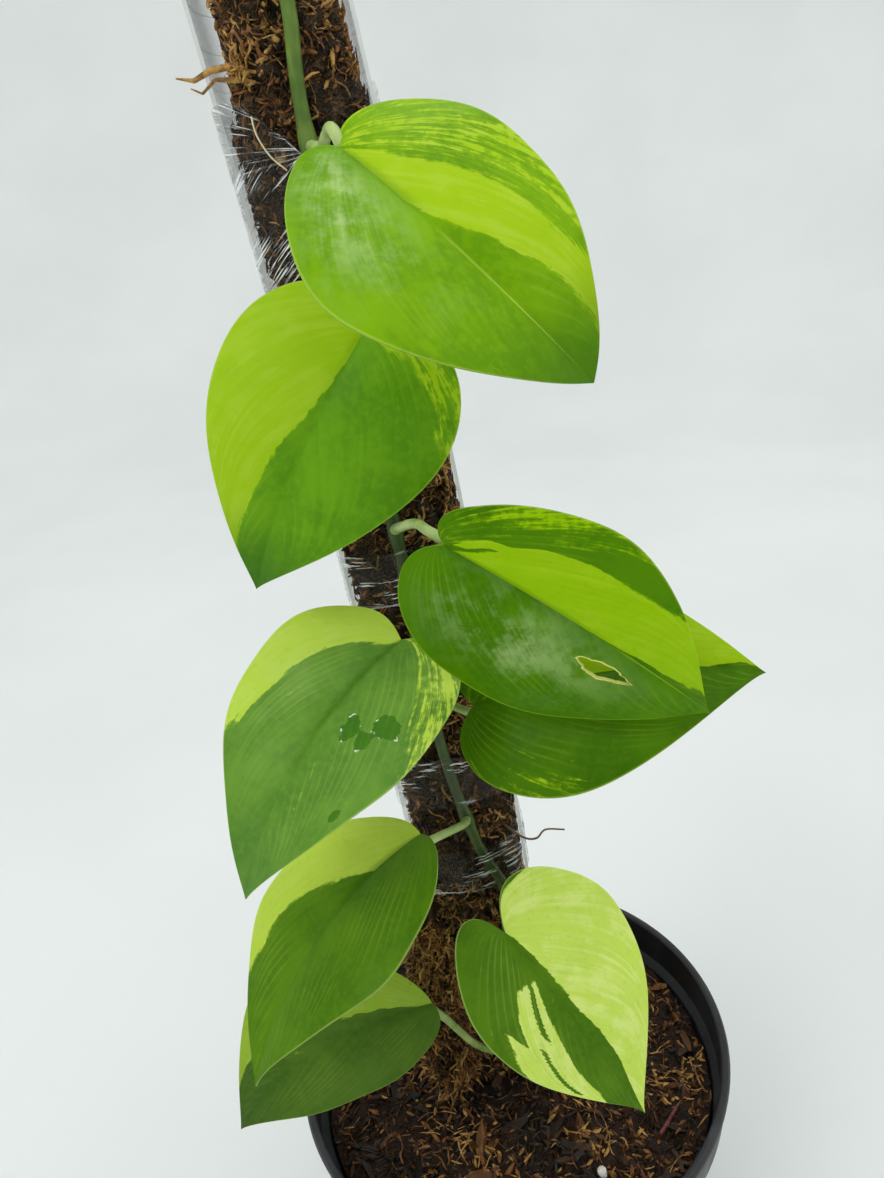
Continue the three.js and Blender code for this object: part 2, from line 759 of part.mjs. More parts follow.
function mossCore(cutters) {
  let body = solidOf(mossColumn()).add(mossSpill());
  const random = seeded(MOSS.seed);
  let made = 0;
  while (made < TUFTS.count) {
    const tuft = frontTuft(random);
    if (tuft) {
      body = body.add(tuft);
      made += 1;
    }
  }
  for (let i = 0; i < SPILL.tufts; i += 1) {
    body = body.add(spillTuft(random));
  }
  for (const { from, to, radius } of SIDE_TUFT) {
    body = body.add(fibre(from, to, radius));
  }
  const wire = WIRE_ROOT.route.map((stop) => new THREE.Vector3(...stop));
  body = body.add(solidOf(rod(wire, () => WIRE_ROOT.radius, ROOTS.sides, PETIOLE.steps)));
  for (const cutter of cutters) {
    body = body.subtract(cutter);
  }
  return largest(body);
}

// Film: a taut band round the channel, the moss and the stem

function filmOutline(angle, margin) {
  const width = POLE.halfWidth + GAP + margin;
  const depth = FILM.frontDepth + margin;
  if (Math.sin(angle) >= 0) {
    return [width * Math.cos(angle), POLE.arcCentre + width * Math.sin(angle)];
  }
  // Sine of the angle where a corner of the ring stands at the channel's front edge.
  const flank = Math.sin((4 * Math.PI) / FILM.segments);
  const turn = -Math.sin(angle);
  if (turn <= flank + MERGE) {
    const down = turn / flank;
    return [width * Math.sign(Math.cos(angle)), POLE.arcCentre + (POLE.front - POLE.arcCentre) * down];
  }
  const sweep = Math.cos(angle) / Math.cos(Math.asin(flank));
  return [width * sweep, POLE.front - depth * Math.sqrt(Math.max(0, 1 - sweep * sweep))];
}

function filmWrap(band) {
  const rows = FILM.rows;
  const profile = [];
  for (let row = 0; row <= rows; row += 1) {
    profile.push(new THREE.Vector2(2, row / rows));
  }
  for (let row = rows; row >= 0; row -= 1) {
    profile.push(new THREE.Vector2(1, row / rows));
  }
  profile.push(profile[0].clone());
  const ring = new THREE.LatheGeometry(profile, FILM.segments);
  return solidOf(warp(ring, (point) => {
    const share = point.y;
    const angle = Math.atan2(-point.z, point.x);
    const outside = Math.hypot(point.x, point.z) > 1.5;
    const front = Math.max(0, -Math.sin(angle));
    const dip = band.dip * Math.max(0, Math.cos(angle + FILM.dipTurn)) ** FILM.dipPower;
    const slant = FILM.slant * Math.cos(angle);
    const z = band.low + slant + (band.high - dip - band.low) * share;
    const crease = FILM.relief * (1 + Math.sin(FILM.creases[0] * angle + FILM.creases[1] * z)) * front;
    const [x, y] = filmOutline(angle, (outside ? FILM.thickness : 0) + crease);
    point.set(poleCentre(z) + x, y, z);
  }));
}

// Pot

function pot() {
  const innerFoot = POT.footRadius - POT.wall;
  const profile = [
    [0, 0],
    [POT.footRadius - POT.footRound, 0],
    [POT.footRadius, POT.footRound],
    [POT.shoulderRadius, POT.shoulder],
    [POT.shoulderRadius + POT.outerStep[0], POT.shoulder + POT.outerStep[1]],
    ...POT.lip.map(([inward, down]) => [POT.rimRadius - inward, POT.height - down]),
    [POT.shoulderRadius + POT.innerStep[0], POT.shoulder + POT.innerStep[1]],
    [POT.shoulderRadius - POT.wall, POT.shoulder],
    [innerFoot, POT.floor + POT.innerRound],
    [innerFoot - POT.innerRound, POT.floor],
    [0, POT.floor],
  ].map(([radius, z]) => new THREE.Vector2(radius, z));
  const shell = new THREE.LatheGeometry(profile, POT.segments);
  shell.rotateX(Math.PI / 2);
  let body = solidOf(shell);
  for (let i = 0; i < POT.drains; i += 1) {
    const angle = (2 * Math.PI * (i + 0.5)) / POT.drains;
    const drill = new THREE.CylinderGeometry(POT.drainRadius, POT.drainRadius, 4 * POT.floor, POT.drainSides);
    drill.rotateX(Math.PI / 2);
    drill.translate(POT.drainRing * Math.cos(angle), POT.drainRing * Math.sin(angle), 0);
    body = body.subtract(solidOf(drill));
  }
  return body;
}

// Soil: fills the pot below its shoulder, with bark chips in its surface

function clods(x, y) {
  const { first, phases, second, height } = SOIL.clods;
  const broad = Math.sin(x * first[0] + phases[0]) * Math.cos(y * first[1] + phases[1]);
  return broad + height * Math.sin(x * second[0] + y * second[1]);
}

function soilBody() {
  const inner = (z) => {
    const share = (z - POT.floor) / (POT.shoulder - POT.floor);
    return THREE.MathUtils.lerp(POT.footRadius, POT.shoulderRadius, share) - POT.wall - 3 * GAP;
  };
  const floor = POT.floor + GAP;
  const round = SOIL.footRound;
  const profile = [
    [0, floor],
    [inner(floor) - round, floor],
    [inner(floor + round), floor + round],
    [inner(SOIL.edge), SOIL.edge],
  ];
  for (const radius of SOIL.rings) {
    const share = 1 - radius / SOIL.rings[0];
    profile.push([radius, THREE.MathUtils.lerp(SOIL.edge, SOIL.middle, share)]);
  }
  profile.push([0, SOIL.middle]);
  const outline = profile.map(([radius, z]) => new THREE.Vector2(radius, z));
  const body = new THREE.LatheGeometry(outline, POT.segments);
  body.rotateX(Math.PI / 2);
  return solidOf(warp(body, (point) => {
    const radius = Math.hypot(point.x, point.y);
    if (point.z > SOIL.edge - 1 && radius < SOIL.rings[0] + 1) {
      point.z += SOIL.relief * clods(point.x, point.y);
    }
  }));
}

function chip(random) {
  const sizes = CHIP.least.map((least, i) => within([least, CHIP.more[i]], random));
  const box = new THREE.BoxGeometry(...sizes);
  box.rotateX(CHIP.tilt[0] * (random() - 0.5));
  box.rotateY(CHIP.tilt[1] * (random() - 0.5));
  box.rotateZ(2 * Math.PI * random());
  return box;
}

function soil(cutters) {
  let body = soilBody();
  const random = seeded(SOIL.seed);
  for (let i = 0; i < SOIL.chips; i += 1) {
    const radius = SOIL.chipReach * Math.sqrt(random());
    const angle = 2 * Math.PI * random();
    const x = radius * Math.cos(angle);
    const y = radius * Math.sin(angle);
    const share = 1 - radius / SOIL.rings[0];
    const z = THREE.MathUtils.lerp(SOIL.edge, SOIL.middle, share) + SOIL.relief * clods(x, y) + SOIL.chipLift;
    body = body.add(solidOf(chip(random).translate(x, y, z)));
  }
  for (const cutter of cutters) {
    body = body.subtract(cutter);
  }
  return largest(body);
}

// The whole plant

const plant = new THREE.Group();

function place(name, solid, material) {
  const mesh = new THREE.Mesh(geometryOf(solid), material.clone());
  mesh.name = name;
  plant.add(mesh);
}

const channelHole = solidOf(upright(new THREE.Shape(channelOutline(GAP)), POLE.foot - GAP, POT.height, 2));
const fatPetioles = LEAVES.map((leaf) => petioleRod(leaf, GAP));
const moss = mossCore([fatStem, ...fatPetioles]);
const mossHole = solidOf(mossColumn(GAP)).add(mossSpill(GAP));

place('pot', pot(), FINISH.pot);
place('soil', soil([channelHole, mossHole, roots(GAP), fatStem, ...fatPetioles]), FINISH.soil);
place('pole_channel', channel(), FINISH.channel);
place('moss_core', moss, FINISH.moss);
FILM.bands.forEach((band) => place(band.name, filmWrap(band), FINISH.film));
place('vine_stem', stemRod(), FINISH.stem);
LEAVES.forEach((leaf, i) => place(`petiole_${i + 1}`, petiole(leaf), FINISH.petiole));
LEAVES.forEach((leaf) => place(leaf.name, blade(leaf), FINISH.blade));
place('new_leaf', newLeaf(), FINISH.newLeaf);
place('roots', roots(), FINISH.roots);

export default plant;
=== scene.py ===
import math
import random

import bmesh
import bpy
from mathutils import Matrix, Quaternion, Vector, noise


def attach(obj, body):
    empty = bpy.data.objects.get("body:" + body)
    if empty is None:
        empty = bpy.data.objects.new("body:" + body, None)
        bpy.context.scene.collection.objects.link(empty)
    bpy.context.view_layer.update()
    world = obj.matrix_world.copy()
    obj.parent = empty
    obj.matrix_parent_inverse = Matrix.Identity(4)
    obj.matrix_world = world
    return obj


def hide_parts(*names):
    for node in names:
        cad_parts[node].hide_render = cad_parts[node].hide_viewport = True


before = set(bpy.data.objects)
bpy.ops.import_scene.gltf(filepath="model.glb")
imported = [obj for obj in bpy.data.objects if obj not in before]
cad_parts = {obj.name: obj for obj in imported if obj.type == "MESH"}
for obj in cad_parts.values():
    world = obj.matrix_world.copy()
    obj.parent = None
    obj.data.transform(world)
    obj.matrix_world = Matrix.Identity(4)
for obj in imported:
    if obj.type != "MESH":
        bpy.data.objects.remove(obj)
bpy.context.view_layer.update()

# A climbing plant with marbled lime and green leaves, on a moss-filled clear pole in a round pot.
# Sizes are in millimetres until a finished piece is put in place.

MM = 0.001
scene = bpy.context.scene
# Without a seed, noise vectors would start from the clock and differ from run to run.
noise.seed_set(1)

# Where the blades face, how tightly their lobes turn, how thick they are and how far the midrib hangs.
LIGHT = Vector((0, -0.8, 0.6))
LOBE_TURN, BLADE_THICKNESS, RIB = 0.084, 0.8, 0.9

LEAVES = {
    "leaf_1": dict(node=440, base=(-8, -38, 437), tip=(37, -58, 385), roll=-12, left=31.4, right=29.2,
                   via=((-13, -17, 438.6), (-11, -26, 440.2), (-9.2, -34, 440.4)),
                   arch=49, sweep=-4.3, dome=0.23, fold=0.31, belly=0.98, notch=0.22, drip=-0.65, ripple=0.5),
    "leaf_2": dict(node=386, base=(-11, -23, 397), tip=(-50, -22, 336), roll=-8, left=29.4, right=32,
                   arch=50, sweep=-1, dome=0.35, fold=0.26, belly=0.78, notch=0.33, drip=0.25, ripple=0.6),
    "leaf_3": dict(node=342, base=(1, -50, 351), tip=(63, -49, 294), roll=44, left=34.2, right=24.5,
                   via=((-9.4, -28, 349.4), (-4.8, -39, 353.6), (-1.8, -45, 353.2)),
                   arch=26, sweep=4, dome=0.29, fold=0.22, belly=0.93, notch=0.25, drip=0.28, ripple=0.6),
    "leaf_4": dict(node=290, base=(3, -26, 293), tip=(84.5, -32, 293), roll=-7, left=31, right=30.7,
                   arch=50, sweep=3.3, dome=0.33, fold=0.24, belly=0.82, notch=0.25, drip=0.17, ripple=0.6),
    "leaf_5": dict(node=305, base=(-14, -22, 315), tip=(-64, -58, 264), roll=13, left=26.6, right=29.5,
                   arch=56, sweep=-3.5, dome=0.14, fold=0.30, belly=0.76, notch=0.21, drip=0.02, ripple=1.2),
    "leaf_6": dict(node=241, base=(-18, -28, 253), tip=(-73, -67, 206), roll=39, left=30.5, right=28.4,
                   arch=44, sweep=-4.3, dome=0.27, fold=0.23, belly=0.86, notch=0.13, drip=0.22, ripple=0.8),
    "leaf_7": dict(node=138, base=(-24, -30, 186), tip=(-94, -38, 151), roll=-14, left=32.6, right=22,
                   via=((-2, -15.5, 141), (-12.5, -17.5, 149), (-21.3, -24, 171.8)), raised=1.8,
                   arch=26, sweep=-9.6, dome=0.30, fold=0.23, belly=0.87, notch=0.12, drip=0.27, ripple=0.6),
    "leaf_8": dict(node=208, base=(3, -39, 220), tip=(39, -51, 148), roll=-14, left=25.5, right=33.9,
                   via=((7.2, -18, 207), (8.4, -31, 208.6)),
                   arch=11, sweep=0.8, dome=0.28, fold=0.19, belly=0.96, notch=0.42, drip=0.51, ripple=0.8),
}

# Where a half of a blade is lime or green. Each half starts at a level, from -1.4 for plain green to 1.4
# for plain lime, and takes the next level past each line. A line is given by its places on the blade:
# share of the half width, share of the length. Levels near 0 come out marbled.
GREEN, LIME = -1.4, 1.4
PATTERN = {
    "leaf_1": dict(right=[-0.22, (((0, -0.02), (0.08, 0.08), (0.19, 0.22), (0.31, 0.33), (0.43, 0.42),
        (0.57, 0.5), (0.74, 0.63), (0.85, 0.7), (1, 0.74)), -0.9), (((0, 0.05), (0.08, 0.15), (0.19, 0.3),
        (0.31, 0.41), (0.43, 0.49), (0.57, 0.56), (0.74, 0.7), (0.85, 0.75), (1, 0.78)), LIME),
        (((0, 0.45), (0.06, 0.55), (0.21, 0.64), (0.37, 0.73), (0.56, 0.78), (0.71, 0.85), (0.89, 0.89),
        (1, 0.93)), GREEN)], left=[GREEN]),
    "leaf_2": dict(left=[LIME, (((0, 0.24), (0.02, 0.33), (0.05, 0.44), (0.1, 0.49), (0.18, 0.55),
        (0.29, 0.65), (0.36, 0.71), (0.49, 0.77), (0.67, 0.81), (1, 0.88)), GREEN)],
        right=[0.2, (((0, 0.0), (0.2, 0.08), (0.36, 0.16), (0.57, 0.21), (0.67, 0.27), (0.75, 0.31),
        (0.81, 0.35), (0.87, 0.4), (1, 0.43)), GREEN)]),
    "leaf_3": dict(right=[-0.5, (((0, 0.0), (0.1, 0.07), (0.3, 0.18), (0.5, 0.28), (0.61, 0.36),
        (0.75, 0.5), (1, 0.6)), GREEN), (((0, 0.1), (0.1, 0.17), (0.3, 0.28), (0.5, 0.37), (0.61, 0.45),
        (0.68, 0.58), (0.75, 0.63), (0.85, 0.68), (1, 0.73)), LIME), (((0, 0.62), (0.03, 0.72),
        (0.1, 0.77), (0.15, 0.83), (0.29, 0.88), (0.88, 0.92), (1, 0.94)), GREEN)], left=[GREEN],
        fingers=dict(right=((LIME, 0.2, 0.15, 0.44, 0.27, 0.03), (LIME, 0.34, 0.27, 0.58, 0.41, 0.025)))),
    "leaf_4": dict(right=[-0.75, (((0, 0.28), (0.4, 0.38), (1, 0.55)), LIME), (((0, 0.87), (0.3, 0.93),
        (0.86, 0.98), (1, 0.985)), GREEN)], left=[GREEN], margin=dict(left=(0.85, 0.5, 0.0, 0.45))),
    "leaf_5": dict(left=[LIME, (((0, 0.08), (0.09, 0.16), (0.24, 0.22), (0.35, 0.27), (0.45, 0.33),
        (0.58, 0.44), (0.7, 0.53), (0.81, 0.6), (1, 0.63)), GREEN)], right=[-0.3, (((0, 0.02), (0.2, 0.06),
        (0.34, 0.12), (0.45, 0.22), (0.51, 0.28), (0.61, 0.35), (0.68, 0.4), (0.77, 0.44), (1, 0.52)),
        GREEN)]),
    "leaf_6": dict(left=[LIME, (((0, 0.36), (0.07, 0.39), (0.17, 0.44), (0.27, 0.48), (0.4, 0.52),
        (0.51, 0.56), (0.6, 0.61), (0.73, 0.71), (1, 0.78)), GREEN)], right=[GREEN]),
    "leaf_7": dict(left=[LIME, (((0, 0.14), (0.09, 0.25), (0.16, 0.45), (0.4, 0.62), (0.75, 0.8),
        (1, 0.88)), GREEN)], right=[GREEN]),
    "leaf_8": dict(right=[LIME], left=[GREEN, (((0, 0.38), (0.16, 0.395), (0.25, 0.385), (0.37, 0.39),
        (0.55, 0.48), (0.69, 0.565), (0.74, 0.48), (0.83, 0.55), (0.94, 0.6), (1, 0.64)), LIME),
        (((0, 0.33), (0.12, 0.4), (0.19, 0.46), (0.3, 0.56), (0.42, 0.66), (0.62, 0.77), (0.74, 0.83),
        (1, 0.86)), GREEN)],
        # The green strip beside the midrib: share of the length, share of the half width.
        strip=dict(right=((0, 0.03), (0.22, 0.06), (0.57, 0.07), (0.71, 0.13), (0.82, 0.2), (1, 0.16))),
        # Green gaps between the lime flames: from and to, as shares of the half width and the length.
        fingers=dict(left=((GREEN, 0.2, 0.4, 0.48, 0.59, 0.02), (GREEN, 0.6, 0.6, 0.95, 0.79, 0.013))),
        margin=dict(right=(-3.2, 0.82, 0.0, 0.1))),
}

# How wide the change from one level to the next is, as a share of the blade's length.
SOFTNESS = {"leaf_1": 0.09, "leaf_2": 0.07, "leaf_3": 0.08, "leaf_4": 0.06, "leaf_5": 0.08, "leaf_6": 0.06,
            "leaf_7": 0.07, "leaf_8": 0.04}

# Green, lime and pale tones of each leaf, as they look in soft daylight.
TONES = {
    "leaf_1": ((111, 162, 8), (160, 197, 22), (200, 220, 92)),
    "leaf_2": ((96, 153, 20), (155, 195, 24), (192, 214, 80)),
    "leaf_3": ((73, 124, 0), (146, 190, 2), (182, 210, 50)),
    "leaf_4": ((64, 108, 4), (148, 186, 14), (182, 208, 72)),
    "leaf_5": ((96, 143, 48), (182, 211, 70), (204, 222, 118)),
    "leaf_6": ((79, 123, 16), (179, 207, 68), (200, 217, 106)),
    "leaf_7": ((72, 106, 28), (143, 175, 50), (178, 200, 98)),
    "leaf_8": ((77, 119, 16), (194, 220, 90), (224, 236, 146)),
}

# The midrib along each blade, from the petiole to the tip: a dark groove below 0, a pale line above it.
MIDRIB = {
    "leaf_1": ((0, -0.8), (0.45, -0.6), (0.6, 0.5), (1, 0.9)), "leaf_2": ((0, -0.5), (0.5, -0.2), (1, 0.3)),
    "leaf_3": ((0, -0.8), (0.6, -0.6), (0.75, 0.5), (1, 0.8)), "leaf_4": ((0, -0.5), (1, 0)),
    "leaf_5": ((0, -1), (0.5, -0.9), (0.8, 0.2), (1, 0.4)), "leaf_6": ((0, -1), (0.45, -0.9), (0.7, 0),
               (1, 0.2)),
    "leaf_7": ((0, -0.4), (1, 0)), "leaf_8": ((0, -0.4), (0.5, -0.2), (1, 0)),
}

# Painted shade: how much darker the tip of a blade is painted, where it hangs away from the light.
PAINTED_TIP_SHADE = {"leaf_1": 0.75, "leaf_2": 0.7, "leaf_5": 0.25, "leaf_7": 0.3}

# Standing water on leaf 5: along, across and the two half sizes, as shares.
WET = ((0.44, 0.58, 0.04, 0.13), (0.51, 0.3, 0.035, 0.08), (0.51, 0.48, 0.035, 0.1), (0.67, 0.86, 0.02, 0.05))

# The torn slit in leaf 3: its middle as shares of the blade, its half sizes and its turn.
SLIT = dict(along=0.71, across=-0.27, half_length=7.4, half_width=1.9, turn=4)

STEM_ROUTE = [(8, -9, 92), (8, -9, 130), (7.5, -9.2, 172), (6.5, -9.2, 205), (-2, -9, 232), (-8, -9, 268),
              (-10, -9, 302), (-11, -9, 336), (-13.5, -9, 388), (-16.5, -9, 445), (-15.5, -9, 469),
              (-18, -9, 494)]
STEM_RADIUS, STALK_RADIUS = 1.75, 1.25

# The pole: half width, wall, front edge, centre of its round back, foot and top, and how it leans and bows.
POLE_HALF, POLE_WALL, POLE_FRONT, ARC_CENTRE, POLE_FOOT, POLE_TOP = 19, 1, -2.5, 8, 6, 515
POLE_LEAN, POLE_BOW, BOW_START = -3.55, -1.44, 130
MOSS_FOOT, MOSS_TOP = 8, 506

# The moss that hangs out at the foot of the pole.
SPILL_CENTRE, SPILL_HALF = Vector((-22.5, -8.2, 160)), Vector((10.5, 4.2, 42))

# Golden clumps of moss: place from left to right, height and reach. The two wide clumps low on the pole are
# partly the moss's golden tone and partly painted light, where light falls between the leaves.
GOLDEN = ((-8, 466, 10), (-7, 480, 9), (-32, 488, 7), (-26, 460, 6), (1, 364, 8), (-22, 306, 9),
          (-22, 176, 24),
          (-8, 190, 20), (8, 252, 7))

# Film bands: name, foot, top and how far the top dips at the left.
BANDS = [("film_wrap_1", 408, 452, 22), ("film_wrap_2", 321, 337, 0), ("film_wrap_3", 249, 267, 0),
         ("film_wrap_4", 214, 231, 0)]

# The pot's drain holes: how many, how far out, radius. Then the mix: height at the rim, rise and slope.
DRAINS, DRAIN_RING, DRAIN_RADIUS = 6, 46, 4
SOIL_EDGE, SOIL_RISE, SOIL_SLOPE = 111, 3.5, 68


# Small sums

def smooth(value, low=0.0, high=1.0):
    share = min(max((value - low) / (high - low), 0), 1)
    return share * share * (3 - 2 * share)


def follow(knots, where):
    """The height of a line through knots, at a place."""
    for (x0, y0), (x1, y1) in zip(knots, knots[1:]):
        if where <= x1:
            return y0 + (y1 - y0) * (where - x0) / (x1 - x0)
    return knots[-1][1]


def curve_through(points, count):
    """Evenly many points on a smooth curve through the given ones."""
    points = [Vector(point) for point in points]
    ends = [points[0] * 2 - points[1], *points, points[-1] * 2 - points[-2]]
    made = []
    for k in range(count):
        place = k / (count - 1) * (len(points) - 1)
        step = min(int(place), len(points) - 2)
        u = place - step
        a, b, c, d = ends[step:step + 4]
        made.append(0.5 * (2 * b + (c - a) * u + (2 * a - 5 * b + 4 * c - d) * u * u
                           + (3 * b - a - 3 * c + d) * u ** 3))
    return made


def paint(red, green, blue):
    """A colour as it looks on a screen, turned into a shader's colour."""
    def linear(part):
        part /= 255
        return part / 12.92 if part <= 0.04045 else ((part + 0.055) / 1.055) ** 2.4
    return (linear(red), linear(green), linear(blue), 1)


# Finishes

class Level:
    """What a node gives. Sums and soft steps of it are nodes too."""

    def __init__(self, look, socket):
        self.look, self.socket = look, socket

    def __add__(self, other):
        return self.look.sum("ADD", self, other)

    def __sub__(self, other):
        return self.look.sum("SUBTRACT", self, other)

    def __mul__(self, other):
        return self.look.sum("MULTIPLY", self, other)

    def step(self, low, high, start=0, end=1):
        """A soft step from start at low to end at high. Low may be the larger of the two."""
        sockets = {"Value": self, "From Min": low, "From Max": high, "To Min": start, "To Max": end}
        return self.look.add("MapRange", sockets, interpolation_type="SMOOTHSTEP")


class Finish:
    """A material under way: its nodes are added one by one to the shader that it starts with."""

    def __init__(self, name, roughness=0.5, specular=0.5):
        self.material = bpy.data.materials.new(name)
        self.material.use_nodes = True
        self.tree = self.material.node_tree
        self.shader = self.tree.nodes["Principled BSDF"]
        self.set("Roughness", roughness)
        self.set("Specular IOR Level", specular)

    def set(self, socket, value):
        self.join(self.shader.inputs[socket], value)

    def join(self, socket, value):
        if isinstance(value, Level):
            self.tree.links.new(value.socket, socket)
        else:
            socket.default_value = value

    def add(self, kind, inputs, output=0, **settings):
        made = self.tree.nodes.new("ShaderNode" + kind)
        for key, value in settings.items():
            setattr(made, key, value)
        for socket, value in inputs.items():
            self.join(made.inputs[socket], value)
        return Level(self, made.outputs[output])

    def sum(self, operation, first, second=0):
        return self.add("Math", {0: first, 1: second}, operation=operation)

    def layers(self, shade, *coats):
        """A shade with others laid over it, each as far as its share says."""
        for share, coat in coats:
            below, above = (part if isinstance(part, Level) else paint(*part) for part in (shade, coat))
            shade = self.add("Mix", {0: share, 6: below, 7: above}, 2, data_type="RGBA")
        return shade

    def coloured(self, shade, *coats):
        """Gives the material its colour and hands it over, finished."""
        self.set("Base Color", self.layers(shade, *coats))
        return self.material

    def own(self, name):
        return self.add("Attribute", {}, "Fac", attribute_name=name)

    def place(self):
        return self.add("TexCoord", {}, "Object")

    def axes(self):
        """The place from left to right, from front to back and upwards."""
        split = self.add("SeparateXYZ", {0: self.place()}).socket.node
        return [Level(self, socket) for socket in split.outputs]

    def facing(self):
        return self.add("LayerWeight", {"Blend": 0.5}, "Facing")

    def stretched(self, x=1, y=1, z=1, place=None):
        return self.add("Mapping", {"Vector": place or self.place(), "Scale": (x, y, z)})

    def grain(self, scale, detail=3, roughness=0.55, place=None):
        sockets = {"Vector": place or self.place(), "Scale": scale, "Detail": detail, "Roughness": roughness}
        return self.add("TexNoise", sockets, "Fac")

    def relief(self, height, depth, strength):
        bump = self.add("Bump", {"Height": height, "Strength": strength, "Distance": depth}, "Normal")
        self.set("Normal", bump)


def blade_finish(name, green, lime, pale, seed, streaked):
    """Sectors and streaks of lime on green that follow the veins, with faint veins, midrib and margin."""
    look = Finish(name, specular=0.05)
    vein, across, rib, torn = (look.own(mark) for mark in ("vein", "across", "rib", "torn"))

    def veined(fineness, drift, detail, roughness):
        """A grain drawn out along the veins."""
        place = look.add("CombineXYZ", {0: vein * fineness, 1: across * drift, 2: seed})
        return look.grain(1, detail, roughness, place)

    def spread(grain, strength):
        return (grain - 0.5) * strength

    def shaded(red, middle, blue, more=0):
        """The leaf's green with each of its parts weakened or strengthened."""
        return green[0] * red, green[1] * middle, green[2] * blue + more

    streak = spread(veined(26, 4, 6, 0.72), 4.6) + spread(veined(6, 1.6, 2, 0.5), 2.4)
    level = look.own("lime") + streak + spread(look.grain(500), 1.5)
    cloud = look.grain(55, 4, 0.6) * 0.7 + veined(12, 1.5, 3, 0.6) * 0.3
    cells = look.grain(520, 3, 0.6)
    tint = shaded(1.14, 1.07, 1.1, 2)
    body = look.layers(
        shaded(0.84, 0.88, 0.9), (cloud.step(0.38, 0.62), tint), (0.3, green),
        (cells.step(0.45, 0.65, 0, 0.4), tint), (level.step(-0.4, -0.3, 0, 0.3), lime))
    hair = veined(16, 1.2, 3, 0.6) * 0.6 + look.grain(170) * 0.4
    lime_body = look.layers(
        lime, (hair.step(0.44, 0.62, 0, streaked), pale), (cloud.step(0.5, 0.75, 0, 0.18), tint),
        (cells.step(0.55, 0.7, 0, 0.1), tint))

    turns = vein * 15 + look.grain(30, 2) * 1.6
    thread = look.sum("PINGPONG", turns, 0.5).step(0.26, 0.5)
    faded = thread * (across.step(0.97, 0.6) * across.step(0.06, 0.35))
    shown = look.grain(45, 2).step(0.4, 0.62, 0.02, 0.1)
    groove = across.step(0.075, 0) * rib.step(0, -1, 0, 0.5)
    ridge = across.step(0.018, 0.005) * rib.step(0, 1, 0, 0.6)
    # Painted sheen: pale blotches laid over the colour where the blade's soft gloss would shine.
    painted_sheen_blotches = (look.grain(60, 5, 0.7) * 0.75 + veined(14, 1.5, 4, 0.7) * 0.25).step(0.44, 0.6)
    edge = look.own("wet") + spread(look.grain(150, 3, 0.6), 2.6)
    wet = edge.step(0, 0.06)
    # Painted highlights: small white glints on the rim of the standing water.
    glint = edge.step(-0.06, 0.02) * edge.step(0.14, 0.06) * look.grain(420, 2).step(0.6, 0.66)

    dry = look.grain(160).step(0.3, 0.7, 0.3, 0.42)
    look.set("Roughness", dry * wet.step(0, 1, 1, 0.15))
    look.relief(look.grain(700, 2) * 0.3 - faded * 0.3 + wet * 2, 0.0001, 0.4)
    # The tip coat is painted shade: it darkens the tip of a blade towards a deep, bluer green.
    return look.coloured(
        body, (level.step(-0.03, 0.03), lime_body), (faded * shown, pale), (groove, shaded(0.62, 0.76, 0)),
        (ridge, pale), (across.step(0.982, 0.994, 0, 0.3), pale), (look.own("tip"), shaded(0.5, 0.64, 1, 12)),
        (painted_sheen_blotches * look.own("painted_sheen"), (182, 208, 138)), (torn.step(0.6, 0.4, 0, 0.9), (214, 220, 116)),
        (torn.step(0.14, 0.06, 0, 0.6), (184, 166, 82)), (look.own("underside") * 0.5, (128, 160, 88)),
        (wet * 0.62, (34, 98, 4)), (glint * 0.85, (244, 250, 240)))


def skin_finish(name, deep, light, low=None):
    """A plant's smooth skin with fine lines along it. If low is given, painted shade makes it darker and
    duller towards the foot.
    """
    look = Finish(name, 0.42, 0.35)
    lines = look.grain(1040, place=look.stretched(z=0.12))
    coats = [(look.grain(260 / 3, 2).step(0.3, 0.7), light), (lines.step(0.45, 0.7, 0, 0.4), light)]
    if low:
        # Painted shade: the low tone darkens the skin from about 0.47 m downwards.
        coats.append((look.axes()[2].step(0.47, 0.36, 0, 0.8), low))
    look.relief(lines, 0.0001, 0.4)
    return look.coloured(deep, *coats)


def fibre_finish(name, deep, main, light, roughness=0.8):
    look = Finish(name, specular=0.35)
    patch = look.grain(420)
    thread = look.grain(2200, 2, place=look.stretched(z=0.35))
    look.set("Roughness", patch.step(0.35, 0.65, roughness * 0.6, roughness))
    look.relief(thread, 0.0003, 0.7)
    return look.coloured(deep, (patch.step(0.38, 0.55), main), (patch.step(0.58, 0.72, 0, 0.8), light),
                         (thread.step(0.5, 0.75, 0, 0.35), light))


def matted_finish(name, deep, main, light):
    """Matted moss: thin curly threads, drawn where a noise passes its middle value, over hollows darkened
    with painted shade.
    """
    look = Finish(name, 0.6, 0.35)
    hollow = look.grain(170, 4, 0.6)
    threads = 0
    for scale, width in ((230, 0.03), (380, 0.045), (640, 0.06)):
        off = look.sum("ABSOLUTE", look.grain(scale, 1.5) - 0.5)
        threads = look.sum("MAXIMUM", threads, off.step(width, width * 0.2))
    thread_colour = look.layers(main, (look.grain(90, 2).step(0.35, 0.65), light))
    look.relief(threads + hollow * 2, 0.0007, 0.8)
    # Painted shade: the colour darkens to near black in the hollows, and the threads dim there too.
    return look.coloured(deep, (hollow.step(0.4, 0.62), main),
                         (threads * hollow.step(0.35, 0.6, 0.15, 0.8), thread_colour))


